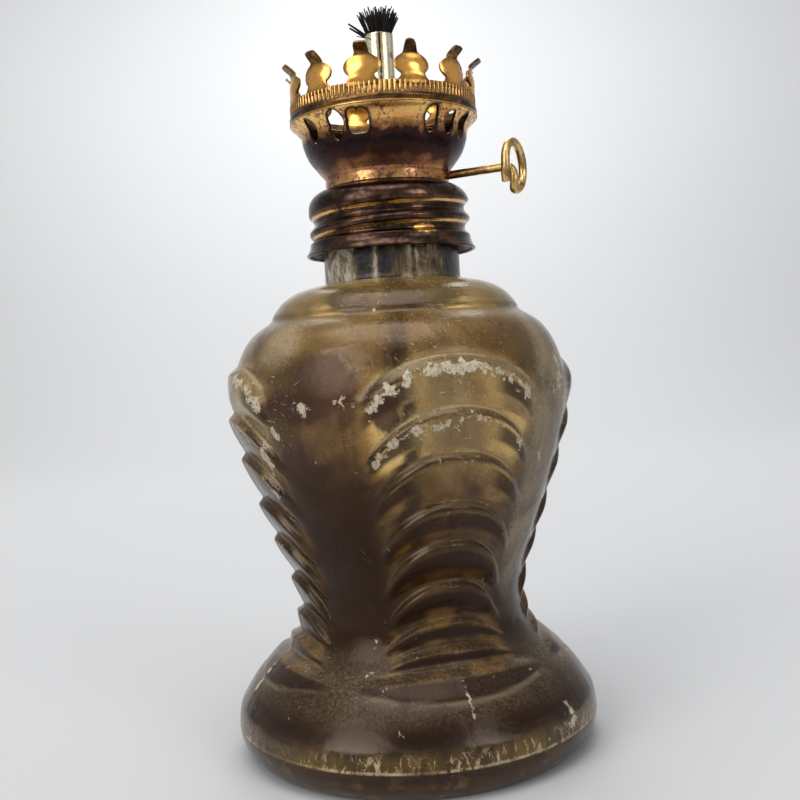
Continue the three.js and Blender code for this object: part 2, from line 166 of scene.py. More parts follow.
# loose threads as azimuth in degrees, outward reach, rise, thickness
STRAY_STRANDS = [
    (-150, 3.9, 3.3, 0.30), (-156, 3.7, 2.7, 0.28), (-146, 2.6, 0.9, 0.14), (-130, 2.4, 4.4, 0.17),
    (-80, 2.0, -0.9, 0.11), (-95, 2.4, -0.4, 0.11), (-110, 2.5, 4.4, 0.16), (20, 2.2, 4.2, 0.16),
]

# dark runs and bare patches in the lacquer, the last run being painted shade over the left panel's ribs:
# azimuth in degrees, height, half width in degrees, half height
DARK_RUNS_AND_SHADE = [
    (-86, 66.5, 17, 7.5), (-96, 63.2, 24, 4.6), (-66, 61.5, 6, 5.0), (14, 71.0, 12, 6.0),
    (50, 66.0, 13, 6.0), (-178, 70.0, 16, 6.5), (-130, 50.0, 17, 17),
]
BARE_PATCHES = [
    (-10, 8.3, 6, 3.6), (4, 67.0, 6, 7.0), (14, 62.0, 4, 5.0), (-113, 54.0, 4, 6.0), (-112, 46.0, 3, 4.0),
    (-106, 59.5, 4, 3.5), (-80, 63.5, 7, 3.6), (-93, 62.8, 5, 2.4), (88, 58.0, 5, 5.0), (150, 66.0, 6, 5.0),
    (-2, 63.0, 5, 5.0), (-6, 53.0, 3, 6.0),
]
# dusty film, in the same terms
DUSTY_PATCHES = [
    (-3, 60.0, 19, 21), (-8, 42.0, 12, 16), (-106, 73.0, 14, 5), (95, 66.0, 20, 16), (176, 60.0, 18, 20),
]
# how dark or pale the neck's glass is round it, as azimuth in degrees and tone
NECK_TONES = [
    (-180, 0.45), (-140, 0.60), (-118, 0.80), (-96, 0.74), (-90, 0.22), (-79, 0.18), (-75, 0.84),
    (-71, 0.16), (-56, 0.40), (-47, 0.80), (-44, 0.06), (-42, 0.80), (-38, 0.50), (-18, 0.52),
    (-8, 0.12), (20, 0.30), (60, 0.62), (100, 0.25), (140, 0.55), (180, 0.45),
]

# nicks and hairlines in the lacquer: noise scale, slant, squash, and how much of the noise is left out
NICKS = [(1.5, 0.6, 0.50, 0.67), (2.4, 0.0, 1.0, 0.68), (2.1, 1.0, 0.12, 0.675), (2.3, -0.7, 0.10, 0.68)]

# camera and light, in metres and degrees
CAMERA_AZIMUTH = math.radians(28)
CAMERA_ELEVATION = math.radians(2.51)
CAMERA_ROLL = math.radians(3.38)
CAMERA_DISTANCE = 0.1853
CAMERA_TARGET_Z = 0.0623
CAMERA_LENS = 45.0


# ---- small maths ----

def smoothstep(low, high, value):
    share = np.clip((value - low) / (high - low), 0.0, 1.0)
    return share * share * (3 - 2 * share)


def hump(offset, half_width):
    """Smooth hump, 1 at the centre and 0 at half its width."""
    inside = np.abs(offset) < half_width
    return np.where(inside, np.cos(np.pi * offset / (2 * half_width)) ** 2, 0.0)


def spline_points(points, per_span):
    """Catmull-Rom curve through the points, as an array of samples."""
    knots = np.array(points, float)
    padded = np.vstack([2 * knots[0] - knots[1], knots, 2 * knots[-1] - knots[-2]])
    samples = []
    for i in range(1, len(padded) - 2):
        p0, p1, p2, p3 = padded[i - 1:i + 3]
        for step in range(per_span):
            t = step / per_span
            samples.append(0.5 * (2 * p1 + (p2 - p0) * t + (2 * p0 - 5 * p1 + 4 * p2 - p3) * t ** 2
                                  + (3 * p1 - p0 - 3 * p2 + p3) * t ** 3))
    samples.append(knots[-1])
    return np.array(samples)


def fractal(point, scale):
    """Repeatable noise between about -1 and 1 at a point in millimetres."""
    return noise.fractal(Vector(point) * scale, 1.0, 2.0, 3)


def wobble(azimuth, scale, seed):
    """Repeatable noise that closes on itself round a circle."""
    return noise.noise(Vector((math.cos(azimuth) * scale, math.sin(azimuth) * scale, seed)))


def wobbles(azimuths, scale, seed):
    return np.array([wobble(azimuth, scale, seed) for azimuth in azimuths])


def round_angles(sides):
    return np.arange(sides) * TURN / sides


def around(azimuth, radius):
    """The x and y of a point at an azimuth and a distance from the axis."""
    return radius * math.cos(azimuth), radius * math.sin(azimuth)


def turn_between(start, end):
    """The angle from start to end, between half a turn back and half a turn on."""
    return (end - start + math.pi) % TURN - math.pi


# ---- mesh helpers ----

def make_object(name, vertices, faces):
    mesh = bpy.data.meshes.new(name)
    mesh.from_pydata((np.asarray(vertices, float) * MM).tolist(), [], faces)
    mesh.validate()
    mesh.polygons.foreach_set("use_smooth", [True] * len(mesh.polygons))
    piece = bpy.data.objects.new(name, mesh)
    bpy.context.scene.collection.objects.link(piece)
    return piece


def grid_faces(row_count, sides, closed_rows=False, closed_sides=True):
    faces = []
    rows = row_count if closed_rows else row_count - 1
    columns = sides if closed_sides else sides - 1
    for j in range(rows):
        lower = j * sides
        upper = ((j + 1) % row_count) * sides
        for k in range(columns):
            after = (k + 1) % sides
            faces.append((lower + k, lower + after, upper + after, upper + k))
    return faces


def revolve_points(rows, sides):
    """Points of rows of (radius, height) round +Z. A row may be two numbers or two arrays."""
    azimuth = round_angles(sides)
    points = np.empty((len(rows), sides, 3))
    for j, (radius, height) in enumerate(rows):
        points[j, :, 0] = radius * np.cos(azimuth)
        points[j, :, 1] = radius * np.sin(azimuth)
        points[j, :, 2] = height
    return points.reshape(-1, 3)


def capped_revolve(name, rows, sides):
    """Closed surface whose first and last rows shrink to a point on the axis."""
    body = revolve_points(rows[1:-1], sides).tolist()
    start, end = len(body), len(body) + 1
    body.append([0, 0, float(rows[0][1])])
    body.append([0, 0, float(rows[-1][1])])
    faces = grid_faces(len(rows) - 2, sides)
    last = (len(rows) - 3) * sides
    for k in range(sides):
        after = (k + 1) % sides
        faces.append((start, after, k))
        faces.append((last + k, last + after, end))
    return make_object(name, body, faces)


def ring_revolve(name, rows, sides):
    return make_object(name, revolve_points(rows, sides), grid_faces(len(rows), sides, closed_rows=True))


def store(piece, name, values):
    """Keeps one number per vertex for the piece's material to read."""
    layer = piece.data.attributes.new(name, "FLOAT", "POINT")
    layer.data.foreach_set("value", np.asarray(values, np.float32))


def vertex_array(piece):
    values = np.empty(len(piece.data.vertices) * 3)
    piece.data.vertices.foreach_get("co", values)
    return values.reshape(-1, 3) / MM


def sweep(path, radii, sides):
    """Points and faces of a round bar along a path, with flat ends."""
    path = np.asarray(path, float)
    tangents = np.gradient(path, axis=0)
    tangents /= np.linalg.norm(tangents, axis=1)[:, None]
    side = np.cross(tangents[0], (0.0, 0.3, 1.0))
    side /= np.linalg.norm(side)
    points = []
    for centre, tangent, radius in zip(path, tangents, radii):
        side = side - tangent * np.dot(side, tangent)
        side /= np.linalg.norm(side)
        up = np.cross(tangent, side)
        for k in range(sides):
            angle = TURN * k / sides
            points.append(centre + radius * (math.cos(angle) * side + math.sin(angle) * up))
    faces = grid_faces(len(path), sides)
    faces.append(tuple(range(sides - 1, -1, -1)))
    last = (len(path) - 1) * sides
    faces.append(tuple(range(last, last + sides)))
    return points, faces


def join_parts(name, parts):
    """One object from several (points, faces) pairs."""
    vertices, faces = [], []
    for points, part_faces in parts:
        offset = len(vertices)
        vertices.extend(points)
        faces.extend(tuple(i + offset for i in face) for face in part_faces)
    return make_object(name, vertices, faces)


def thicken(piece, thickness_mm, offset=-1.0):
    modifier = piece.modifiers.new("thickness", "SOLIDIFY")
    modifier.thickness = thickness_mm * MM
    modifier.offset = offset
    modifier.use_even_offset = False


def apply_modifiers(piece):
    depsgraph = bpy.context.evaluated_depsgraph_get()
    mesh = bpy.data.meshes.new_from_object(piece.evaluated_get(depsgraph))
    piece.modifiers.clear()
    piece.data = mesh


# ---- node helpers ----

class Nodes:
    """A material under construction. Textures work in millimetres of the frame."""

    def __init__(self, name):
        self.material = bpy.data.materials.new(name)
        self.material.use_nodes = True
        self.tree = self.material.node_tree
        self.tree.nodes.clear()
        self.add = self.tree.nodes.new
        self.output = self.add("ShaderNodeOutputMaterial")
        coordinates = self.add("ShaderNodeTexCoord")
        scaled = self.add("ShaderNodeVectorMath")
        scaled.operation = "SCALE"
        self.fill(scaled, {0: coordinates.outputs["Object"], "Scale": 1 / MM})
        self.position = scaled.outputs[0]

    def fill(self, node, inputs):
        """Links or sets a node's inputs, which are given by name or by place."""
        for key, value in inputs.items():
            socket = node.inputs[key]
            if isinstance(value, bpy.types.NodeSocket):
                self.tree.links.new(value, socket)
            elif socket.type == "RGBA" and len(value) == 3:
                socket.default_value = (*value, 1.0)
            else:
                socket.default_value = value
        return node

    def math(self, operation, a, b, clamp=False):
        node = self.add("ShaderNodeMath")
        node.operation = operation
        node.use_clamp = clamp
        return self.fill(node, {0: a, 1: b}).outputs[0]

    def plus(self, a, b):
        return self.math("ADD", a, b)

    def minus(self, a, b, clamp=False):
        return self.math("SUBTRACT", a, b, clamp)

    def times(self, a, b, clamp=False):
        return self.math("MULTIPLY", a, b, clamp)

    def over(self, a, b):
        return self.math("DIVIDE", a, b)

    def most(self, a, b):
        return self.math("MAXIMUM", a, b)

    def swing(self, texture, amount):
        """A texture's departure from its middle value of 0.5, times amount."""
        return self.times(self.minus(texture, 0.5), amount)

    def stretch(self, factors, turn=0.0):
        """Position turned and then squeezed along each axis."""
        node = self.add("ShaderNodeMapping")
        node.vector_type = "TEXTURE"
        scale = [1 / factor for factor in factors]
        self.fill(node, {"Vector": self.position, "Scale": scale, "Rotation": (0.0, turn, turn)})
        return node.outputs[0]

    def noise(self, scale, detail=4.0, roughness=0.55, distortion=0.0, vector=None):
        node = self.add("ShaderNodeTexNoise")
        self.fill(node, {"Vector": vector or self.position, "Scale": scale, "Detail": detail})
        self.fill(node, {"Roughness": roughness, "Distortion": distortion})
        return node.outputs["Fac"]

    def cells(self, scale):
        node = self.add("ShaderNodeTexVoronoi")
        node.feature = "F1"
        return self.fill(node, {"Vector": self.position, "Scale": scale}).outputs["Distance"]

    def axis(self, name, vector=None):
        node = self.add("ShaderNodeSeparateXYZ")
        return self.fill(node, {0: vector or self.position}).outputs[name]

    def upward(self):
        return self.axis("Z", self.add("ShaderNodeNewGeometry").outputs["Normal"])

    def attribute(self, name):
        node = self.add("ShaderNodeAttribute")
        node.attribute_name = name
        return node.outputs["Fac"]

    def remap(self, value, low, high, to_low=0.0, to_high=1.0):
        node = self.add("ShaderNodeMapRange")
        node.interpolation_type = "SMOOTHSTEP"
        self.fill(node, {"Value": value, "From Min": low, "From Max": high})
        self.fill(node, {"To Min": to_low, "To Max": to_high})
        return node.outputs["Result"]

    def ramp(self, value, stops):
        node = self.fill(self.add("ShaderNodeValToRGB"), {"Fac": value})
        elements = node.color_ramp.elements
        while len(elements) < len(stops):
            elements.new(0.5)
        for element, (place, colour) in zip(elements, stops):
            element.position = place
            element.color = (*colour, 1.0)
        return node.outputs["Color"]

    def mix(self, share, a, b, blend="MIX"):
        """Mix of two colours."""
        node = self.add("ShaderNodeMix")
        node.data_type = "RGBA"
        node.blend_type = blend
        return self.fill(node, {"Factor": share, "A": a, "B": b}).outputs[2]

    def blend(self, share, a, b):
        """Mix of two numbers."""
        return self.fill(self.add("ShaderNodeMix"), {"Factor": share, 2: a, 3: b}).outputs[0]

    def bump(self, height, strength, distance_mm):
        node = self.add("ShaderNodeBump")
        self.fill(node, {"Strength": strength, "Distance": distance_mm * MM, "Height": height})
        return node.outputs["Normal"]

    def finish(self, **inputs):
        shader = self.add("ShaderNodeBsdfPrincipled")
        self.fill(shader, {name.replace("_", " "): value for name, value in inputs.items()})
        self.fill(self.output, {"Surface": shader.outputs[0]})
        return self.material


def dress(piece, *materials):
    piece.data.materials.clear()
    for material in materials:
        piece.data.materials.append(material)


# ---- materials ----

def lacquered_glass():
    """Brown lacquer on glass: near black low down, amber in the panels, dusty on top, flaked on crests."""
    m = Nodes("lacquered_glass")
    height = m.axis("Z")
    cloud = m.noise(0.075, 5, 0.6, 0.8)
    grain = m.noise(1.9, 6, 0.72)
    speckle = m.noise(7.0, 3, 0.8)
    shifted = m.plus(height, m.swing(cloud, 45.0))
    shifted = m.plus(shifted, m.swing(m.attribute("panel"), 28.0))
    # dark runs in the lacquer, and painted shade over the left panel's ribs
    run = m.plus(m.attribute("run"), m.times(m.noise(0.30, 6, 0.66, 0.8), 0.9))
    run = m.remap(run, 0.62, 0.92, 0.0, 0.95)
    # painted shade under the ribs: darkens the colour, thins the dust and makes the glass opaque
    rib_shade = m.times(m.attribute("rib_shade"), m.remap(grain, 0.3, 0.5, 0.75, 0.95))
    tint = glass_tint(m, height, shifted, run, rib_shade)
    bare = m.most(flaked_lacquer(m, cloud), worn_mould_line(m, height))
    cream = m.mix(m.remap(grain, 0.36, 0.56), (0.27, 0.21, 0.13), (0.52, 0.46, 0.355))
    dust = settled_dust(m, height, cloud, grain, speckle)
    dust = m.times(dust, m.remap(rib_shade, 0.1, 0.7, 1.0, 0.25))
    tint = m.mix(m.remap(grain, 0.62, 0.36, 0.0, 0.6), tint, (0.62, 0.52, 0.42), "MULTIPLY")
    colour = m.mix(dust, tint, m.mix(m.remap(cloud, 0.3, 0.6), (0.155, 0.115, 0.070), (0.40, 0.320, 0.205)))
    edge = m.times(m.attribute("edge"), m.remap(cloud, 0.36, 0.56, 0.10, 0.80))
    colour = m.mix(edge, colour, (0.28, 0.22, 0.14))
    colour = m.mix(bare, colour, cream)
    opaque = m.most(bare, m.times(m.most(dust, edge), 0.9))
    thick = m.times(m.remap(shifted, 24.0, 60.0, 0.75, 0.0), m.remap(height, 8.0, 12.0))
    for more in (m.times(run, 0.7), m.times(rib_shade, 0.8), opaque):
        thick = m.most(thick, more)
    filmed = m.times(m.remap(height, 10.0, 14.0), m.remap(height, 16.0, 30.0, 0.09, 0.0))
    smooth = m.plus(m.remap(grain, 0.35, 0.7, 0.04, 0.13), filmed)
    relief = m.plus(m.times(cloud, 1.2), m.times(bare, -0.10))
    relief = m.plus(relief, m.times(grain, 0.12))
    return m.finish(
        Base_Color=colour, Roughness=m.blend(opaque, smooth, 0.55), IOR=1.5, Normal=m.bump(relief, 0.5, 0.5),
        Transmission_Weight=m.minus(1.0, thick, clamp=True), Specular_IOR_Level=0.14,
        Specular_Tint=(1.0, 0.78, 0.62),
    )


def glass_tint(m, height, shifted, run, rib_shade):
    tint = m.ramp(m.over(shifted, 100.0), [
        (0.00, (0.036, 0.018, 0.008)), (0.20, (0.024, 0.010, 0.005)), (0.42, (0.042, 0.017, 0.007)),
        (0.56, (0.20, 0.108, 0.025)), (0.68, (0.50, 0.325, 0.095)), (0.84, (0.56, 0.390, 0.150)),
    ])
    pale = m.times(m.attribute("panel"), m.remap(shifted, 55.0, 70.0, 0.0, 0.9))
    tint = m.mix(pale, tint, (0.95, 0.700, 0.310))
    # painted glow: light coming through the glass, painted as paler amber between the ribs
    amber = m.times(m.attribute("groove"), m.remap(m.noise(0.16, 4, 0.6), 0.44, 0.64, 0.08, 0.75))
    tint = m.mix(amber, tint, (0.27, 0.150, 0.040))
    # dark runs, and the painted shade over the left panel
    tint = m.mix(run, tint, (0.054, 0.024, 0.017))
    # painted shade under the ribs
    tint = m.mix(rib_shade, tint, (0.026, 0.011, 0.008))
    drips = m.remap(m.noise(0.45, 4, 0.65, 0.4, m.stretch((1.0, 1.0, 0.3))), 0.38, 0.56, 0.25, 0.95)
    tint = m.mix(m.times(ring_zone(m, height), drips), tint, (0.56, 0.34, 0.080))
    spots = m.times(m.remap(m.noise(0.33, 5, 0.7), 0.52, 0.60), m.remap(height, 5.0, 5.4, 0.8, 0.0))
    return m.mix(spots, tint, (0.24, 0.135, 0.040))


def ring_zone(m, height):
    """The band just above the mould line, where the lacquer is thin."""
    return m.times(m.remap(height, 5.2, 5.8), m.remap(height, 6.9, 9.6, 1.0, 0.0))


def flaked_lacquer(m, cloud):
    """Where the lacquer has come off: patches along the crests, specks and short slanting nicks."""
    ragged = m.noise(0.50, 7, 0.68, 0.4)
    broken = m.plus(m.times(ragged, 0.75), m.times(cloud, 0.25))
    flakes = m.remap(m.plus(broken, m.times(m.attribute("crest"), 0.14)), 0.640, 0.656)
    nicks = 0.0
    for scale, turn, squash, limit in NICKS:
        stretched = m.stretch((squash, squash, 1.5), turn)
        mark = m.remap(m.noise(scale, 3, 0.6, 0.3, stretched), limit, limit + 0.02)
        nicks = m.most(nicks, mark)
    rubbed = m.times(m.remap(m.noise(0.11, 3, 0.55), 0.45, 0.60), m.remap(m.axis("Z"), 44, 60, 0.1, 0.7))
    return m.most(flakes, m.times(nicks, rubbed))


def worn_mould_line(m, height):
    streaked = m.noise(0.9, 5, 0.75, 0.6, m.stretch((1.0, 1.0, 0.4)))
    patches = m.remap(m.noise(0.06, 3, 0.6), 0.42, 0.58, 0.3, 1.0)
    worn = m.times(ring_zone(m, height), m.remap(streaked, 0.52, 0.60, 0.0, 0.8))
    edge = m.times(m.remap(height, 5.3, 5.6), m.remap(height, 5.7, 6.2, 0.8, 0.0))
    edge = m.times(edge, m.remap(streaked, 0.38, 0.50))
    return m.times(m.most(worn, edge), patches)


def settled_dust(m, height, cloud, grain, speckle):
    fine = m.plus(m.times(speckle, 0.55), m.times(grain, 0.45))
    settled = m.times(m.remap(m.upward(), 0.25, 0.95), m.remap(fine, 0.38, 0.68))
    settled = m.times(settled, m.remap(height, 10.5, 13.0))
    high = m.times(m.remap(height, 60.0, 80.0, 0.0, 0.24), m.remap(cloud, 0.40, 0.60, 0.45, 1.0))
    film = m.times(high, m.remap(fine, 0.30, 0.60, 0.55, 1.0))
    film = m.most(film, m.times(m.attribute("film"), m.remap(fine, 0.34, 0.60, 0.45, 1.0)))
    return m.most(m.times(settled, 0.50), film)


def inner_glass():
    """The font's clear inside surface, with a thin old fuel film."""
    m = Nodes("inner_glass")
    film = m.noise(0.3, 4, 0.6, 0.4, m.stretch((1.0, 1.0, 0.3)))
    colour = m.mix(m.remap(film, 0.35, 0.7), (0.96, 0.92, 0.84), (0.78, 0.66, 0.46))
    return m.finish(
        Base_Color=colour, Roughness=m.remap(film, 0.3, 0.7, 0.03, 0.14), IOR=1.5, Transmission_Weight=1.0,
    )


def neck_glass():
    """Less lacquered glass of the neck: pale and amber smears with dark gaps, streaked upright."""
    m = Nodes("neck_glass")
    broad = m.noise(0.28, 5, 0.62, 1.6, m.stretch((1.0, 1.0, 0.6)))
    streaks = m.noise(0.9, 5, 0.65, 0.9, m.stretch((1.0, 1.0, 0.25)))
    grain = m.noise(3.0, 4, 0.7)
    share = m.plus(m.attribute("tone"), m.swing(broad, 1.7))
    share = m.plus(share, m.swing(streaks, 0.8))
    colour = m.ramp(share, [
        (0.12, (0.014, 0.010, 0.008)), (0.30, (0.060, 0.044, 0.032)), (0.46, (0.28, 0.145, 0.045)),
        (0.60, (0.21, 0.145, 0.062)), (0.76, (0.33, 0.26, 0.145)), (0.95, (0.62, 0.58, 0.50)),
    ])
    film = m.times(m.remap(share, 0.35, 0.75, 0.25, 0.85), m.remap(grain, 0.35, 0.6, 0.6, 1.0))
    return m.finish(
        Base_Color=colour, Roughness=m.remap(grain, 0.3, 0.7, 0.07, 0.24), IOR=1.5,
        Transmission_Weight=m.minus(1.0, film, clamp=True), Normal=m.bump(streaks, 0.6, 0.5),
        Specular_IOR_Level=0.35,
    )


def aged_brass(name, tones, wear="", rough=(0.20, 0.42), relief=0.25, clean=(0.80, 0.46, 0.12), pitted=0.6,
               ragged=False):
    """Tarnished brass. Its tones run from darkest to brightest, and ragged wear has hard edges."""
    m = Nodes(name)
    cloud = m.noise(0.30, 6, 0.62, 0.8)
    fine = m.noise(1.8, 6, 0.7, 0.2)
    pits = m.noise(6.0, 3, 0.75)
    blotch = m.plus(m.times(cloud, 0.7), m.times(fine, 0.3))
    colour = m.ramp(blotch, [(0.36 + 0.30 * i / (len(tones) - 1), tone) for i, tone in enumerate(tones)])
    shine = m.remap(blotch, 0.35, 0.65, rough[1], rough[0])
    if wear:
        rubbed = m.times(m.attribute(wear), m.remap(fine, 0.24, 0.50), clamp=True)
        if ragged:
            rubbed = m.remap(m.plus(m.attribute(wear), m.times(fine, 1.5)), 1.02, 1.45, 0.0, 0.95)
        colour = m.mix(rubbed, colour, clean)
        shine = m.blend(rubbed, shine, rough[0])
    colour = m.mix(m.remap(pits, 0.60, 0.72, 0.0, pitted), colour, (0.045, 0.024, 0.016))
    height = m.plus(m.times(cloud, 0.6), m.times(pits, 0.3 * pitted))
    return m.finish(Base_Color=colour, Metallic=1.0, Roughness=shine, Normal=m.bump(height, relief, 0.12))


def shell_brass():
    """The spun shell: gold flared wall, a bulb painted near black as a dark reflection of what lies below
    it, and a copper-pink cylinder.
    """
    m = Nodes("shell_brass")
    cloud = m.noise(0.20, 5, 0.55, 0.8)
    fine = m.noise(1.3, 6, 0.72, 0.5)
    pits = m.noise(6.0, 3, 0.75)
    ripple = m.swing(cloud, 4.5)
    zone = m.plus(m.axis("Z"), ripple)
    place = m.over(m.minus(zone, 100.0), 15.0)
    # stops from 0.24 to 0.60 paint the downward-facing bulb near black, a painted dark reflection
    colour = m.ramp(place, [
        (0.08, (0.66, 0.37, 0.12)), (0.16, (0.56, 0.27, 0.11)), (0.24, (0.30, 0.125, 0.055)),
        (0.34, (0.050, 0.022, 0.016)), (0.50, (0.013, 0.008, 0.009)), (0.60, (0.050, 0.020, 0.014)),
        (0.68, (0.70, 0.35, 0.105)), (0.80, (1.0, 0.61, 0.205)),
    ])
    # where the bulb's painted dark reflection lies
    dark_bulb = m.times(m.remap(place, 0.24, 0.32), m.remap(place, 0.58, 0.70, 1.0, 0.0))
    stain = m.times(m.remap(fine, 0.48, 0.56), m.remap(cloud, 0.44, 0.53))
    stain = m.times(stain, m.minus(0.9, m.times(dark_bulb, 0.8)))
    colour = m.mix(stain, colour, (0.14, 0.055, 0.060))
    colour = m.mix(m.attribute("rim"), colour, (0.030, 0.018, 0.016))
    colour = m.mix(m.remap(pits, 0.60, 0.72, 0.0, 0.65), colour, (0.030, 0.018, 0.014))
    shine = m.plus(m.remap(fine, 0.3, 0.7, 0.18, 0.34), m.times(dark_bulb, 0.04))
    height = m.plus(m.times(cloud, 0.7), m.times(pits, 0.15))
    return m.finish(Base_Color=colour, Metallic=1.0, Roughness=shine, Normal=m.bump(height, 0.22, 0.15))


def dull_nickel():
    """Plated tube: silver painted warm yellow as a reflection of the brass round it, streaked along its
    length, stained beside its seam.
    """
    m = Nodes("dull_nickel")
    streaks = m.noise(1.3, 5, 0.6, 0.2, m.stretch((1.0, 1.0, 0.06)))
    cloud = m.noise(0.7, 6, 0.65, 0.6)
    # the warm yellow of both colours is a painted reflection of the brass crown
    colour = m.mix(m.remap(streaks, 0.38, 0.58), (0.68, 0.56, 0.32), (1.0, 0.90, 0.63))
    colour = m.mix(m.remap(cloud, 0.54, 0.66, 0.0, 0.8), colour, (0.24, 0.17, 0.08))
    stain = m.times(m.attribute("seam"), m.remap(cloud, 0.34, 0.48), clamp=True)
    colour = m.mix(stain, colour, (0.060, 0.030, 0.014))
    soot = m.remap(m.axis("Z"), TUBE_HIGH.z - 1.0, TUBE_HIGH.z + 0.4, 0.0, 0.35)
    colour = m.mix(soot, colour, (0.10, 0.08, 0.06))
    return m.finish(Base_Color=colour, Metallic=1.0, Roughness=m.remap(cloud, 0.3, 0.7, 0.14, 0.32),
                    Normal=m.bump(streaks, 0.25, 0.08))


def charred_cotton():
    """Cotton soaked brown in the font and charred black above the tube."""
    m = Nodes("charred_cotton")
    fibre = m.noise(6.0, 5, 0.7, 0.3, m.stretch((1.0, 1.0, 0.15)))
    char = m.remap(m.axis("Z"), TUBE_HIGH.z - 9.0, TUBE_HIGH.z)
    soaked = m.mix(fibre, (0.035, 0.024, 0.014), (0.12, 0.085, 0.050))
    burnt = m.mix(m.remap(fibre, 0.35, 0.7), (0.008, 0.006, 0.007), (0.032, 0.022, 0.022))
    return m.finish(Base_Color=m.mix(char, soaked, burnt), Roughness=0.85, Specular_IOR_Level=0.25,
                    Normal=m.bump(fibre, 0.6, 0.15))


def cork_sheet():
    m = Nodes("cork_sheet")
    cells = m.cells(2.2)
    grain = m.noise(4.0, 5, 0.7)
    colour = m.mix(m.remap(cells, 0.1, 0.6), (0.16, 0.09, 0.05), (0.46, 0.31, 0.18))
    return m.finish(Base_Color=m.mix(m.remap(grain, 0.4, 0.7, 0.0, 0.5), colour, (0.10, 0.06, 0.04)),
                    Roughness=0.88, Normal=m.bump(cells, 0.6, 0.2))


def backdrop_paint():
    """Pale grey, a little paler up the wall, which stands further from the lights."""
    m = Nodes("backdrop_paint")
    colour = m.mix(m.remap(m.axis("Z"), 0.0, 500.0), (0.54, 0.542, 0.545), (0.80, 0.805, 0.81))
    clouded = m.times(m.noise(0.004, 2, 0.4), 0.12)
    return m.finish(Base_Color=m.mix(clouded, colour, (0.40, 0.40, 0.40)), Roughness=0.9)


# ---- font ----

BODY_SAMPLES = spline_points(BODY_OUTLINE, 16)


def body_radius(height):
    return np.interp(height, BODY_SAMPLES[:, 1], BODY_SAMPLES[:, 0])


def arch_drop(level):
    """How far an arch sinks between the panel's centre and its edge."""
    return RIB_DROP * smoothstep(12, 40, level) * (1 - smoothstep(66, 77, level))


def rib_fall(crest, below, share):
    """How far below its crest a rib meets the wall: less towards its pointed ends."""
    return 0.82 * (crest - below) * (1 - 0.55 * np.minimum(share, 1.0) ** 2)


def ribs_at(level, share):
    """Crescent ribs: a quick rise from the groove to the crest and a longer fall."""
    total = 0.0
    for crest, below in zip(RIB_CRESTS, RIB_CRESTS[1:] + [LAST_RIB_FOOT]):
        rise = RIB_RISE * min(1.0, (crest - below) / 7.0)
        fall = rib_fall(crest, below, share)
        upper = np.where(level >= crest, hump(level - crest, rise) ** 0.8, 0.0)
        lower = np.where(level < crest, 1 - np.clip((crest - level) / fall, 0, 1) ** 1.5, 0.0)
        total = total + upper + lower
    return total


def crests_at(level):
    """How exposed a level is to rubbing: most on the top arch, less on each rib below it."""
    strengths = [1.25, 0.85, 0.4, 0.25] + [0.1] * (len(RIB_CRESTS) - 4)
    pairs = zip(RIB_CRESTS, strengths)
    return sum(strength * hump(level - crest + 0.5, 2.4) for crest, strength in pairs)


def edges_at(level, share):
    """The dusty crease along the top of each rib, and round the foot of the last one."""
    strengths = [0.8, 1.0, 0.9, 0.8, 0.7, 0.6, 0.6, 0.6, 0.8]
    pairs = zip(RIB_CRESTS, strengths)
    creases = sum(strength * hump(level - crest - 1.45, 0.45) for crest, strength in pairs)
    last = RIB_CRESTS[-1]
    return creases + 0.8 * hump(level - last + rib_fall(last, LAST_RIB_FOOT, share), 0.6)


def rib_shade_at(level, share):
    """Painted shade under each rib's crest: all along the low ribs, only at the ends of the high ones."""
    total = 0.0
    for crest, below in zip(RIB_CRESTS, RIB_CRESTS[1:] + [LAST_RIB_FOOT]):
        depth = crest - level
        reach = rib_fall(crest, below, share) * (1.05 if below == LAST_RIB_FOOT else 0.76)
        face = smoothstep(0.1, 0.8, depth) * (1 - smoothstep(0.7 * reach, reach, depth))
        high = float(smoothstep(45, 58, crest))
        total = total + face * (1 - high * (1 - smoothstep(0.22, 0.58, share)))
    return total * (1 - smoothstep(0.90, 1.10, share))


def panel_share(azimuth, level=40.0):
    """0 on a panel's centre line, 1 and more beyond its edge. The lowest rib is the widest."""
    spacing = TURN / PANEL_COUNT
    turns = (azimuth - PANEL_PHASE) / spacing
    half_width = PANEL_HALF_WIDTH * (1 + 0.3 * (1 - smoothstep(16.5, 21, level)))
    return np.abs(turns - np.round(turns)) * spacing / half_width


def body_row(level, azimuth):
    share = panel_share(azimuth, level)
    height = level - arch_drop(level) * np.minimum(share, 1.0) ** 2.2
    on_panel = (1 - smoothstep(0.72, 1.10, share)) * (1 - 0.15 * share ** 2)
    seam = 0.16 * hump(share, 0.03) * smoothstep(9, 12, level) * (1 - smoothstep(60, 70, level))
    return body_radius(height) + RIB_HEIGHT * ribs_at(level, share) * on_panel + seam, height


def thread_offset(azimuth, height):
    turns = (height - BEAD_Z - PITCH * (azimuth - BEAD_AZIMUTH) / TURN) / PITCH
    return (turns - np.round(turns)) * PITCH


def neck_row(azimuth, height):
    ridge = hump(thread_offset(azimuth, height), 1.0)
    fade = smoothstep(92.5, 93.2, height) * (1 - smoothstep(98.3, 99.0, height))
    return NECK_RADIUS + NECK_RIDGE * ridge * fade, height


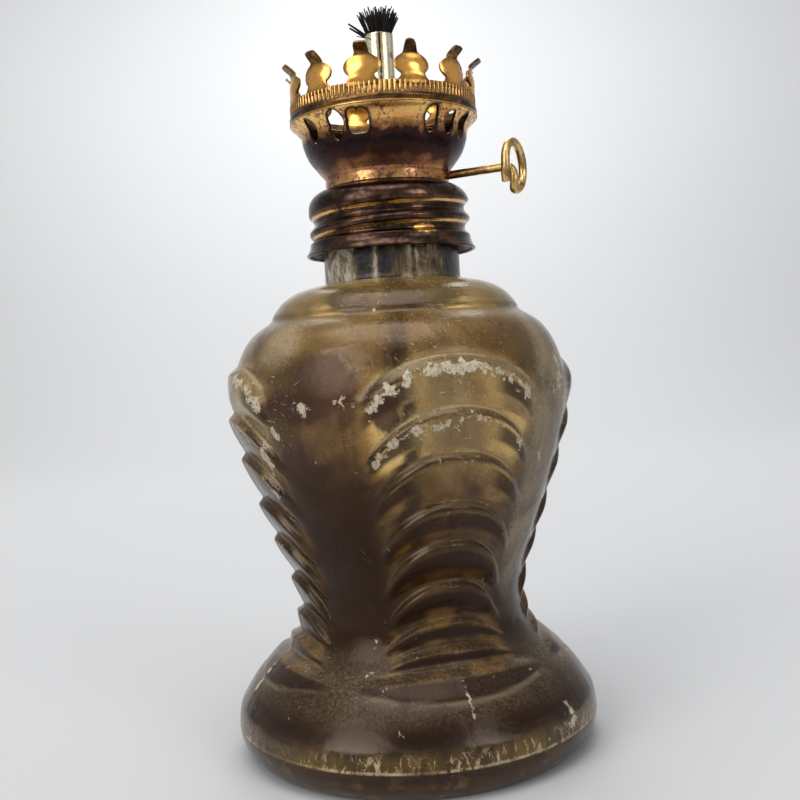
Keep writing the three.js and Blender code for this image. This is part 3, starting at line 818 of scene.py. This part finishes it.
def font_outer_rows(azimuth):
    """Rows up the outside, with the level that each row has at a panel's centre."""
    rows = [((0.0, 1.0), 0), ((14.0, 1.0), 0), ((20.0, 0.95), 0), ((21.3, 0.7), 0), ((22.2, 0.1), 0)]
    rows += [((22.8, 0.0), 0), ((FOOT_RADIUS - 2.0, 0.0), 0)]
    for angle in np.radians(np.arange(6, 90, 7)):
        radius = FOOT_RADIUS - 0.6 + (BASE_RADIUS - FOOT_RADIUS + 0.6) * math.sin(angle)
        rows.append(((radius, MOULD_LINE * (1 - math.cos(angle))), 0))
    levels = [np.arange(5.5, 15.5, 0.5), np.arange(15.5, 72.0, 0.25), np.arange(72, 83.6, 0.4)]
    rows += [(body_row(level, azimuth), level) for level in np.concatenate(levels)]
    for angle in np.radians(np.arange(15, 90, 15)):
        radius = NECK_RADIUS + 0.6 * (1 - math.sin(angle))
        rows.append(((radius, NECK_BASE + 0.35 - 0.6 * math.cos(angle)), 0))
    for height in np.arange(NECK_BASE + 0.9, NECK_TOP - 0.3, 0.25):
        rows.append((neck_row(azimuth, height), 0))
    return rows


def font_inner_rows():
    """Rows down the inside, from the lip to the floor of the fuel space."""
    rows = [(NECK_RADIUS - 0.15, NECK_TOP - 0.12), (NECK_RADIUS - 0.5, NECK_TOP)]
    rows += [(BORE_RADIUS + 0.5, NECK_TOP), (BORE_RADIUS + 0.12, NECK_TOP - 0.15)]
    rows += [(BORE_RADIUS, NECK_TOP - 0.6), (BORE_RADIUS, 90.0), (BORE_RADIUS, 84.5)]
    rows += [(10.8, 82.4), (12.5, 81.0)]
    outline = [(16.0, 79.4), (19.0, 77.4)]
    for height in (74, 68, 58, 48, 38, 30, 24, 18, 13):
        outline.append((min(float(body_radius(height)) - GLASS_WALL, 29.0), height - 1.2))
    outline += [(28.2, 9.2), (26.0, 7.0), (21.0, 5.5), (10.0, 5.6)]
    rows += [tuple(point) for point in spline_points(outline, 5)]
    rows.append((0.0, 5.8))
    return rows


def spots_at(azimuth, height, spots):
    """1 at the middle of the nearest oval spot, falling to 0 at its edge."""
    total = np.zeros(len(azimuth))
    for degrees, middle, half_degrees, half_height in spots:
        across = turn_between(math.radians(degrees), azimuth) / math.radians(half_degrees)
        total = np.maximum(total, 1 - np.hypot(across, (height - middle) / half_height))
    return total


def mark_font(font, row_levels, sides):
    """What the lacquer's material reads: crests, creases, film, panels, painted shade under the ribs, runs
    with painted shade over the left panel, and tones.
    """
    points = vertex_array(font)
    azimuth, height = np.arctan2(points[:, 1], points[:, 0]), points[:, 2]
    level = np.zeros(len(points))
    level[:len(row_levels) * sides] = np.repeat(row_levels, sides)
    share = panel_share(azimuth, level)
    on_panel = (1 - smoothstep(0.75, 1.12, share)) * (1 - smoothstep(69.5, 72.0, level))
    # painted shade under the ribs, strongest on the low ribs
    rib_shade = rib_shade_at(level, share)
    near_side = 0.78 + 0.22 * np.cos(azimuth - BEAD_AZIMUTH)
    crest = crests_at(level) * (1 - smoothstep(0.85, 1.05, share)) * near_side
    crest += hump(share, 0.022) * hump(height - 14, 6)
    store(font, "crest", np.maximum(crest, 1.4 * spots_at(azimuth, height, BARE_PATCHES)))
    store(font, "edge", edges_at(level, share) * (1 - smoothstep(0.80, 1.0, share)))
    store(font, "film", np.clip(1.6 * spots_at(azimuth, height, DUSTY_PATCHES), 0, 0.85))
    store(font, "panel", on_panel)
    # painted shade under the ribs
    store(font, "rib_shade", np.clip(rib_shade, 0, 1))
    # where the painted glow of light through the glass may go
    store(font, "groove", on_panel * (1 - np.clip(rib_shade, 0, 1)) * (level > 15) * (level < 52))
    # dark runs, and painted shade over the left panel
    store(font, "run", spots_at(azimuth, height, DARK_RUNS_AND_SHADE))
    store(font, "tone", np.interp(np.degrees(azimuth), *zip(*NECK_TONES)))


def glass_font():
    sides = FONT_SIDES
    azimuth = round_angles(sides)
    outer = font_outer_rows(azimuth)
    inner = font_inner_rows()
    font = capped_revolve("font_glass", [row for row, _ in outer] + inner, sides)
    mark_font(font, [level for _, level in outer[1:]], sides)
    dress(font, lacquered_glass(), inner_glass(), neck_glass())
    outer_faces = (len(outer) - 2) * sides
    neck_row_index = next(j for j, (row, _) in enumerate(outer) if np.max(row[1]) > NECK_BASE - 0.2)
    for face in font.data.polygons:
        if face.index >= (len(outer) + len(inner) - 3) * sides:
            continue
        if face.index >= outer_faces:
            face.material_index = 1
        elif face.index >= (neck_row_index - 1) * sides:
            face.material_index = 2
    place(font, "font", "lacquered_glass", "glass_font")


# ---- cap ----

def cap_radius(azimuth, height):
    """Rolled thread below a plain round shoulder; the groove above the first turn runs out at the back."""
    start = turn_between(BEAD_AZIMUTH, azimuth)
    above_first = smoothstep(-0.3, 0.3, height - BEAD_Z - PITCH * start / TURN)
    running_out = 1 - above_first * smoothstep(-math.pi, -math.pi + 1.0, start)
    groove = (1 - hump(thread_offset(azimuth, height), 1.6)) * running_out
    threaded = smoothstep(CAP_SKIRT - 0.6, CAP_SKIRT + 0.3, height)
    radius = CAP_NOTCH_RADIUS + CAP_BEAD * (1 - groove * threaded)
    rise = np.clip((height - CAP_SHOULDER) / (CAP_TOP - CAP_SHOULDER + 0.1), 0.0, 1.0)
    reach = CAP_NOTCH_RADIUS + CAP_BEAD - CAP_SHOULDER_CENTRE
    shoulder = CAP_SHOULDER_CENTRE + reach * np.sqrt(1 - rise ** 2)
    return np.minimum(radius, shoulder)


def screw_cap():
    sides = CAP_SIDES
    azimuth = round_angles(sides)
    dents = wobbles(azimuth, 1.4, 3.0)
    wave = wobbles(azimuth, 0.9, 7.0)
    heights = np.concatenate([np.arange(91.2, 98.6, 0.14), np.arange(98.6, CAP_TOP - 0.1, 0.09)])
    flare = spline_points([(CAP_RIM_RADIUS - 0.05, CAP_RIM + 0.35), (CAP_RIM_RADIUS - 0.35, CAP_RIM + 0.8),
                           (14.85, CAP_RIM + 1.4)], 4)
    curl = []
    for angle in np.radians(np.arange(200, -40, -30)):
        curl.append((CAP_RIM_RADIUS - 0.3 + 0.28 * math.cos(angle), CAP_RIM + 0.3 - 0.28 * math.sin(angle)))
    rows = [(r + 0.10 * dents, z + 0.10 * wave) for r, z in curl]
    rows += [(r + 0.06 * dents, z + 0.05 * wave) for r, z in flare]
    rows += [(cap_radius(azimuth, z) + 0.04 * dents, z) for z in heights]
    rows += [(11.5, CAP_TOP), (CAP_HOLE_RADIUS, CAP_TOP)]
    outer_count = len(rows)
    rows += [(CAP_HOLE_RADIUS, CAP_TOP - SHEET), (11.3, CAP_TOP - SHEET)]
    inner_heights = [z for z in heights[::-3] if z < CAP_TOP - 0.9]
    rows += [(cap_radius(azimuth, z + 0.3) - SHEET, z) for z in inner_heights]
    rows += [(14.5, CAP_RIM + 1.3), (CAP_RIM_RADIUS - 0.62, CAP_RIM + 0.6)]
    cap = ring_revolve("cap_brass", rows, sides)
    wear = np.zeros((len(rows), sides))
    patch = hump(turn_between(CAP_SCRATCH_AZIMUTH, azimuth), 0.24)
    uneven = 0.85 + 0.9 * wobbles(azimuth, 3.2, 12.0)
    for j in range(outer_count):
        height = rows[j][1]
        below_bead = hump(thread_offset(azimuth, height) + 0.95, 0.42)
        wear[j] = below_bead * uneven * smoothstep(CAP_SKIRT, CAP_SKIRT + 0.8, height)
        wear[j] *= 1 - smoothstep(98.0, 99.0, height)
        bare_patch = 1.6 * patch * hump(height - CAP_SKIRT - 0.1, 1.1)
        wear[j] += 0.55 * hump(height - CAP_SKIRT + 1.1, 0.22) + bare_patch
    store(cap, "wear", np.clip(wear, 0, 1.4).ravel())
    tones = [(0.016, 0.011, 0.010), (0.040, 0.023, 0.018), (0.095, 0.052, 0.036), (0.20, 0.105, 0.055)]
    dress(cap, aged_brass("cap_patina", tones, wear="wear", rough=(0.15, 0.28), relief=0.3,
                          clean=(0.78, 0.45, 0.13), ragged=True))
    place(cap, "burner", "aged_brass", "screw_cap")


# ---- burner shell ----

SHELL_SAMPLES = spline_points(SHELL_OUTLINE, 12)


def hole_reach(hole, azimuth, height):
    """How far a point of the shell is from a hole's centre: 1 on its edge, less inside."""
    centre, width, tall, squareness, ragged, _ = hole
    across = turn_between(math.radians(centre), azimuth) * HOLE_WALL_RADIUS / (width / 2)
    up = (height - HOLE_Z) / (tall / 2)
    reach = (abs(across) ** squareness + abs(up) ** squareness) ** (1 / squareness)
    if reach > 2.2:
        return reach
    angle = math.atan2(up, across)
    dip = 0.08 * math.exp(-((angle - 1.45) / 0.13) ** 2) if width > 3.5 else 0.0
    return reach * (1 + ragged * wobble(angle, 1.6, centre * 0.37) + dip)


def all_holes():
    holes = list(AIR_HOLES)
    for centre in REAR_GROUPS:
        for step in (-1, 0, 1):
            holes.append((centre + step * HOLE_PITCH, 2.7, 4.2, 2.0, 0.05, 0.08))
    return holes


def cut_outs(points, azimuths, holes):
    """For each point, how far it is from its nearest hole and which hole that is. The stem's comes last."""
    reach = np.full(len(points), 9.0)
    nearest = np.zeros(len(points), int)
    sides = len(azimuths)
    for index in np.nonzero(np.abs(points[:, 2] - HOLE_Z) < HOLE_ZONE)[0]:
        azimuth = azimuths[index % sides]
        for which, hole in enumerate(holes):
            if abs(turn_between(math.radians(hole[0]), azimuth)) < HOLE_SPREAD:
                value = hole_reach(hole, azimuth, points[index, 2])
                if value < reach[index]:
                    reach[index], nearest[index] = value, which
    exit_angle = math.asin(WINDER_Y / SHELL_RADIUS)
    for index in np.nonzero(points[:, 2] < WINDER_ZONE_TOP)[0]:
        across = turn_between(exit_angle, azimuths[index % sides]) * SHELL_RADIUS
        off_axis = math.hypot(across * math.cos(exit_angle), points[index, 2] - WINDER_Z)
        if off_axis / WINDER_HOLE_RADIUS < reach[index]:
            reach[index], nearest[index] = off_axis / WINDER_HOLE_RADIUS, len(holes)
    return reach, nearest


def burner_shell():
    sides = SHELL_SIDES
    rows = spline_points(SHELL_OUTLINE, 8)
    azimuths = round_angles(sides)
    points = revolve_points([tuple(row) for row in rows], sides)
    holes = all_holes()
    reach, nearest = cut_outs(points, azimuths, holes)
    faces = [face for face in grid_faces(len(rows), sides) if sum(reach[i] for i in face) > 4.0]
    for index in hole_edge_points(faces, len(rows), sides):
        if nearest[index] < len(holes):
            points[index] = on_hole_edge(holes[nearest[index]], azimuths[index % sides], points[index])
            reach[index] = 1.0
    lips = np.array([holes[which][5] if which < len(holes) else 0.05 for which in nearest])
    lift = lips * np.exp(-((reach - 1.0) / 0.14) ** 2)
    points[:, :2] += points[:, :2] / np.hypot(points[:, 0], points[:, 1])[:, None] * lift[:, None]
    shell = make_object("shell_brass", points, faces)
    store(shell, "rim", np.clip(1.25 * np.exp(-((reach - 1.0) / (0.07 + 0.75 * lips)) ** 2), 0, 1))
    remove_loose(shell)
    thicken(shell, SHEET)
    apply_modifiers(shell)
    dress(shell, shell_brass())
    place(shell, "burner", "brass", "burner_shell")


def hole_edge_points(faces, row_count, sides):
    """Points of the grid that border a cut-out: on the edge of the faces, but not of the sheet."""
    used = {}
    for face in faces:
        for i in face:
            used[i] = used.get(i, 0) + 1
    inner = range(sides, (row_count - 1) * sides)
    return [i for i in inner if 0 < used.get(i, 0) < 4]


def on_hole_edge(hole, azimuth, point):
    """Moves a point near a hole's edge exactly onto it, staying on the shell's surface."""
    centre = math.radians(hole[0])
    offset = turn_between(centre, azimuth)
    up = point[2] - HOLE_Z
    for _ in range(3):
        reach = max(hole_reach(hole, centre + offset, HOLE_Z + up), 0.3)
        offset, up = offset / reach, up / reach
    height = HOLE_Z + up
    radius = float(np.interp(height, SHELL_SAMPLES[:, 1], SHELL_SAMPLES[:, 0]))
    return np.array([radius * math.cos(centre + offset), radius * math.sin(centre + offset), height])


def remove_loose(piece):
    mesh = bmesh.new()
    mesh.from_mesh(piece.data)
    loose = [vertex for vertex in mesh.verts if not vertex.link_faces]
    bmesh.ops.delete(mesh, geom=loose, context="VERTS")
    mesh.to_mesh(piece.data)
    mesh.free()


# ---- crown gallery ----

def crown_band():
    sides = KNURL_TEETH * 6
    azimuth = round_angles(sides)
    phase = azimuth * KNURL_TEETH + 0.5 * wobbles(azimuth, 6.0, 1.0)
    tooth = np.maximum(np.cos(phase), -0.35)
    ragged = wobbles(azimuth, 20.0, 5.0)
    rows = [(BAND_INNER, BAND_BOTTOM + 0.1), (BAND_INNER + 0.15, BAND_BOTTOM)]
    rows += [(BEAD_RADIUS - 0.05, BAND_BOTTOM), (BEAD_RADIUS + 0.02, BAND_BOTTOM + 0.14)]
    rows += [(BEAD_RADIUS - 0.02, BAND_BOTTOM + 0.30), (BEAD_RADIUS - 0.14, BAND_BOTTOM + 0.40)]
    for angle in np.radians(np.arange(-60, 80, 20)):
        radius = BEAD_RADIUS - 0.35 + 0.35 * math.cos(angle)
        rows.append((radius, BAND_BOTTOM + 0.98 + 0.55 * math.sin(angle)))
    knurl_low = BAND_BOTTOM + 1.52
    for share in (0.0, 0.08, 0.2, 0.5, 0.8, 0.92, 1.0):
        height = knurl_low + (BAND_TOP - knurl_low) * share + 0.08 * ragged * (share > 0.9)
        depth = 0.16 * smoothstep(0.0, 0.15, share + 0.05 * ragged) * (1 - 0.4 * smoothstep(0.9, 1.0, share))
        rows.append((BAND_RADIUS - 0.10 + depth * tooth, height))
    rows += [(BAND_RADIUS - 0.22, BAND_TOP + 0.04 + 0.06 * ragged), (BAND_INNER + 0.05, BAND_TOP + 0.02)]
    rows += [(BAND_INNER, BAND_TOP - 0.1), (BAND_INNER, LEDGE_Z + 0.2), (BAND_INNER - 0.2, LEDGE_Z)]
    rows += [(LEDGE_RADIUS + 0.1, LEDGE_Z), (LEDGE_RADIUS, LEDGE_Z - 0.1), (LEDGE_RADIUS, LEDGE_Z - 0.3)]
    rows += [(LEDGE_RADIUS + 0.1, LEDGE_Z - SHEET), (BAND_INNER - 0.2, LEDGE_Z - SHEET)]
    rows += [(BAND_INNER, LEDGE_Z - 0.6)]
    band = ring_revolve("crown_band", rows, sides)
    heights = vertex_array(band)[:, 2]
    radii = np.hypot(*vertex_array(band)[:, :2].T)
    knurled = smoothstep(knurl_low - 0.05, knurl_low + 0.35, heights)
    raised = smoothstep(BAND_RADIUS - 0.16, BAND_RADIUS + 0.02, radii)
    lip = hump(heights - BAND_BOTTOM - 0.14, 0.22) * (radii > BAND_RADIUS)
    store(band, "wear", np.clip(knurled * (0.15 + raised) + lip, 0, 1.0))
    tones = [(0.030, 0.016, 0.011), (0.080, 0.040, 0.018), (0.20, 0.100, 0.036), (0.42, 0.23, 0.07)]
    dress(band, aged_brass("band_patina", tones, wear="wear", rough=(0.20, 0.34), clean=(0.72, 0.40, 0.125)))
    place(band, "burner", "brass", "crown_gallery")


PRONG_OUTLINE = [
    (0.0, 2.95), (0.75, 2.70), (1.2, 2.32), (1.6, 2.12), (1.85, 2.22), (2.2, 2.60), (2.7, 2.97), (3.3, 3.12),
    (3.9, 2.99), (4.4, 2.62), (4.8, 2.08), (5.1, 1.58), (5.4, 1.28), (5.9, 1.17), (6.8, 1.08), (7.3, 0.98),
    (7.6, 0.80), (7.72, 0.5),
]


def prong_sheet(draw, folded):
    """Points, faces and wear of one prong at azimuth 0: a waist, a dished head and a bent-out tab."""
    outline = spline_points(PRONG_OUTLINE, 4)
    columns = 11
    widen = draw.uniform(0.97, 1.03)
    lean = math.radians(-8 + draw.uniform(-2.5, 2.5))
    tab_bend = math.radians(52 + draw.uniform(-8, 6))
    sway = draw.uniform(-0.02, 0.02)
    radius, height, before = PRONG_FOOT_RADIUS, BAND_TOP - 0.75, 0.0
    points = []
    for run, half in outline:
        bend = math.radians(9) * hump(run - 1.1, 0.6) + lean * smoothstep(1.3, 2.0, run)
        bend = (bend - lean * smoothstep(3.6, 4.8, run)) + tab_bend * smoothstep(4.9, 6.3, run)
        radius += (run - before) * math.sin(bend)
        height += (run - before) * math.cos(bend)
        before = run
        for k in range(columns):
            share = 2 * k / (columns - 1) - 1
            across = share * half * widen
            angle = across / PRONG_CURVE_RADIUS + sway * smoothstep(1.0, 7.0, run)
            cup = 0.28 * (1 - 1.6 * share ** 2) * hump(run - 3.2, 2.1)
            fold = 0.9 * smoothstep(0.0, 1.0, share) * smoothstep(5.4, 7.2, run) if folded else 0.0
            reach = radius + cup - fold
            points.append([*around(angle, reach), height - 0.3 * fold])
    shares = np.abs(np.linspace(-1, 1, columns)) ** 2.5
    wear = [1.45 * float(hump(run - 2.7, 2.75)) ** 0.5 * (1 - 0.8 * shares) for run, _ in outline]
    return points, grid_faces(len(outline), columns, closed_sides=False), np.concatenate(wear)


def crown_prongs():
    draw = random.Random(11)
    parts, wear = [], []
    for index in range(PRONG_COUNT):
        points, faces, sheet_wear = prong_sheet(draw, folded=index == FOLDED_PRONG)
        wear.append(sheet_wear)
        turn = Matrix.Rotation(PRONG_PHASE + TURN * index / PRONG_COUNT, 3, "Z")
        parts.append(([list(turn @ Vector(point)) for point in points], faces))
    prongs = join_parts("crown_prongs", parts)
    store(prongs, "wear", np.concatenate(wear))
    thicken(prongs, PRONG_SHEET, offset=0.0)
    bevel = prongs.modifiers.new("edges", "BEVEL")
    bevel.width = PRONG_BEVEL * MM
    bevel.segments = 2
    bevel.limit_method = "ANGLE"
    bevel.angle_limit = math.radians(50)
    apply_modifiers(prongs)
    tones = [(0.020, 0.011, 0.008), (0.070, 0.034, 0.014), (0.24, 0.125, 0.035), (0.50, 0.28, 0.07)]
    dress(prongs, aged_brass("prong_brass", tones, wear="wear", rough=(0.20, 0.36), relief=0.3,
                             clean=(0.95, 0.48, 0.115), pitted=0.08))
    place(prongs, "burner", "brass", "crown_gallery")


# ---- tube, winder, wick ----

def wick_tube():
    lip = [(TUBE_RADIUS, TUBE_LOW.z), (TUBE_RADIUS, 110.0), (TUBE_RADIUS, TUBE_HIGH.z - 0.5)]
    rows = lip + [(TUBE_RADIUS + 0.03, TUBE_HIGH.z - 0.25), (TUBE_RADIUS, TUBE_HIGH.z - 0.08)]
    rows += [(TUBE_RADIUS - 0.12, TUBE_HIGH.z), (TUBE_BORE + 0.05, TUBE_HIGH.z - 0.05)]
    rows += [(TUBE_BORE, TUBE_HIGH.z - 0.3), (TUBE_BORE, 110.0), (TUBE_BORE, TUBE_LOW.z)]
    azimuth = round_angles(TUBE_SIDES)
    seam_rows = []
    for height in np.arange(108.0, TUBE_HIGH.z - 0.6, 0.4):
        wander = TUBE_SEAM_AZIMUTH + 0.05 * math.sin(height * 1.3) + 0.04 * math.sin(height * 2.9)
        seam_rows.append((TUBE_RADIUS - 0.06 * hump(turn_between(wander, azimuth), 0.09), height))
    rows[1:2] = seam_rows
    tube = ring_revolve("tube_nickel", rows, TUBE_SIDES)
    points = vertex_array(tube)
    angles = np.arctan2(points[:, 1], points[:, 0])
    store(tube, "seam", 1.3 * hump(turn_between(TUBE_SEAM_AZIMUTH, angles), 0.13) * (points[:, 2] > 107.0))
    dress(tube, dull_nickel())
    place(tube, "burner", "nickel", "wick_tube")


def winder_path():
    """Stem through the burner, a tight bend down inside the ring, and the ring with its cut end."""
    points = [(x, WINDER_Y, WINDER_Z) for x in (-3.4, 3.0, 9.0, 15.0, 19.5, RING_X - 2)]
    for dx, dy, dz in ((-0.8, -0.15, -0.25), (0.0, -0.6, -1.2), (0.25, -0.95, -2.6)):
        points.append((RING_X + dx, WINDER_Y + dy, WINDER_Z + dz))
    for degrees in np.arange(-98, 190, 26):
        across, up = around(math.radians(degrees), RING_RADIUS)
        points.append((RING_X, WINDER_Y + across, WINDER_Z + up))
    for dy, dz in ((-4.12, -1.4), (-3.98, -2.6), (-3.9, -3.3)):
        points.append((RING_X - 0.15, WINDER_Y + dy, WINDER_Z + dz))
    return spline_points(points, 10)


def winder():
    path = winder_path()
    radii = []
    for j, centre in enumerate(path):
        ends = min(j, len(path) - 1 - j)
        rounded = (0.80, 0.93, 1.0)[min(ends, 2)]
        radii.append(WIRE_RADIUS * rounded * (1 + 0.02 * fractal(centre, 0.5)))
    points, faces = sweep(path, radii, 24)
    wire = make_object("winder_wire", points, faces)
    tones = [(0.18, 0.10, 0.045), (0.46, 0.29, 0.11), (0.80, 0.56, 0.21), (1.0, 0.77, 0.36)]
    dress(wire, aged_brass("winder_brass", tones, rough=(0.24, 0.42), relief=0.35, pitted=0.4))
    place(wire, "winder", "brass", "winder_spindle")


def strand(start, lean, length, thickness, draw, curl):
    """Thin tapering fibre that starts upright and bends along lean."""
    path, radii = [], []
    count = 9
    bend = np.array([draw.uniform(-curl, curl), draw.uniform(-curl, curl), 0.0])
    for j in range(count):
        share = j / (count - 1)
        out = np.array([lean[0], lean[1], 0.0]) * share ** 1.3
        path.append(np.array(start) + out + np.array([0, 0, length * share]) + bend * math.sin(3 * share))
        radii.append(thickness * (1 - 0.45 * share))
    return sweep(path, radii, 6)


def wick_tuft():
    draw = random.Random(5)
    parts = []
    top = TUBE_HIGH.z
    height = WICK_HIGH.z - top
    for _ in range(TUFT_STRANDS):
        spread = math.sqrt(draw.random())
        azimuth = draw.uniform(0, TURN)
        start = (*around(azimuth, TUFT_ROOT_RADIUS * spread), top - 1.4)
        lean = around(azimuth, 2.3 * spread ** 1.5 * draw.uniform(0.6, 1.2))
        length = (height + 1.6) * draw.uniform(0.80, 1.08) * (1 - 0.10 * spread)
        parts.append(strand(start, lean, length, draw.uniform(0.15, 0.22), draw, 0.30))
    for azimuth_degrees, reach, length, thickness in STRAY_STRANDS:
        azimuth = math.radians(azimuth_degrees)
        start = (*around(azimuth, 1.5), top - 0.9)
        parts.append(strand(start, around(azimuth, reach), length, thickness, draw, 0.35))
    tuft = join_parts("wick_tuft", parts)
    dress(tuft, charred_cotton())
    place(tuft, "wick", "cotton", "wick")


def wick_braid():
    """Round braided cotton, with a frayed end in the font."""
    sides, step = 48, 0.22
    azimuth = round_angles(sides)
    bottom, top = WICK_LOW.z + 2.0, TUBE_HIGH.z - 0.6
    rows = [(0.0, bottom)]
    for height in np.arange(bottom, top, step):
        left = np.cos(8 * azimuth + height * 2.6)
        right = np.cos(8 * azimuth - height * 2.6)
        weave = np.maximum(left, right)
        loose = 1 + 0.10 * (1 - smoothstep(TUBE_LOW.z - 8, TUBE_LOW.z, height))
        rows.append(((WICK_RADIUS * loose - 0.14 + 0.14 * weave), height + 0 * azimuth))
    rows.append((0.0, top))
    body = capped_revolve("wick_braid", rows, sides)
    draw = random.Random(9)
    parts = []
    for _ in range(TAIL_STRANDS):
        direction = draw.uniform(0, TURN)
        spread = 1.7 * math.sqrt(draw.random())
        start = (*around(direction, spread), bottom + 1.0)
        parts.append(strand(start, around(direction, 0.8), -draw.uniform(1.6, 3.0), 0.16, draw, 0.3))
    tail = join_parts("wick_tail", parts)
    cotton = charred_cotton()
    for piece in (body, tail):
        dress(piece, cotton)
        place(piece, "wick", "cotton", "wick")


# ---- assembly, stage and camera ----

def place(piece, body, slot, node):
    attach(piece, body)
    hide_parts(node)


def dress_inner_pieces():
    """Small CAD pieces keep their shape and get their finish."""
    tones = [(0.06, 0.03, 0.018), (0.22, 0.12, 0.045), (0.42, 0.24, 0.08), (0.58, 0.35, 0.12)]
    brass = aged_brass("inner_brass", tones, rough=(0.28, 0.5))
    for node in ("burner_deck", "winder_bracket", "spur_wheel"):
        dress(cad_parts[node], brass)
    dress(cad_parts["cap_gasket"], cork_sheet())


def backdrop():
    """Pale floor that curves up into a wall behind the lamp."""
    profile = [(-2.0, 0.0), (0.55, 0.0)]
    for angle in np.radians(np.arange(6, 90, 6)):
        profile.append((0.55 + 0.5 * math.sin(angle), 0.5 * (1 - math.cos(angle))))
    profile += [(1.05, 0.5), (1.05, 2.6)]
    turn = Matrix.Rotation(CAMERA_AZIMUTH, 3, "Z")
    points = []
    for away, up in profile:
        for across in (-2.4, 2.4):
            points.append(list(turn @ Vector((across, away, up)) / MM))
    floor = make_object("backdrop", points, grid_faces(len(profile), 2, closed_sides=False))
    dress(floor, backdrop_paint())


def toward(turn, lift):
    """Direction out of the lamp, turned round from the front and lifted."""
    return Vector((math.sin(turn) * math.cos(lift), -math.cos(turn) * math.cos(lift), math.sin(lift)))


def area_light(name, azimuth, elevation, distance, size, radiance, colour=(1, 1, 1), aimed_down=False):
    """Soft round light at an angle round the lamp, measured from the camera's side."""
    light = bpy.data.lights.new(name, "AREA")
    light.shape = "ELLIPSE"
    light.size, light.size_y = size
    light.energy = radiance * math.pi * math.pi / 4 * size[0] * size[1]
    light.color = colour
    lamp = bpy.data.objects.new(name, light)
    direction = toward(CAMERA_AZIMUTH + math.radians(azimuth), math.radians(elevation))
    lamp.location = Vector((0, 0, CAMERA_TARGET_Z)) + direction * distance
    if not aimed_down:
        lamp.rotation_euler = direction.to_track_quat("Z", "Y").to_euler()
    bpy.context.scene.collection.objects.link(lamp)


def studio_light():
    world = bpy.data.worlds.new("studio")
    world.use_nodes = True
    background = world.node_tree.nodes["Background"]
    background.inputs["Color"].default_value = (0.94, 0.96, 1.0, 1.0)
    background.inputs["Strength"].default_value = 0.46
    bpy.context.scene.world = world
    area_light("window", -44, 30, 1.0, (0.62, 0.75), 3.8, (1.0, 0.985, 0.96))
    area_light("ceiling", -30, 78, 1.0, (1.0, 0.8), 2.6)
    area_light("side", 44, 28, 1.0, (0.40, 0.52), 3.3, (0.97, 0.98, 1.0))
    area_light("floor", 180, 45, 0.85, (0.6, 0.5), 4.0, aimed_down=True)
    bpy.context.scene.view_settings.view_transform = "Standard"


def camera():
    data = bpy.data.cameras.new("camera")
    data.lens = CAMERA_LENS
    data.sensor_width = 36.0
    data.clip_start = 0.01
    eye = bpy.data.objects.new("camera", data)
    back = toward(CAMERA_AZIMUTH, CAMERA_ELEVATION)
    turn = back.to_track_quat("Z", "Y") @ Matrix.Rotation(-CAMERA_ROLL, 3, "Z").to_quaternion()
    eye.rotation_euler = turn.to_euler()
    eye.location = Vector((0, 0, CAMERA_TARGET_Z)) + back * CAMERA_DISTANCE
    bpy.context.scene.collection.objects.link(eye)
    bpy.context.scene.camera = eye


camera()
glass_font()
screw_cap()
burner_shell()
crown_band()
crown_prongs()
wick_tube()
winder()
wick_tuft()
wick_braid()
dress_inner_pieces()
backdrop()
studio_light()

bpy.context.view_layer.update()
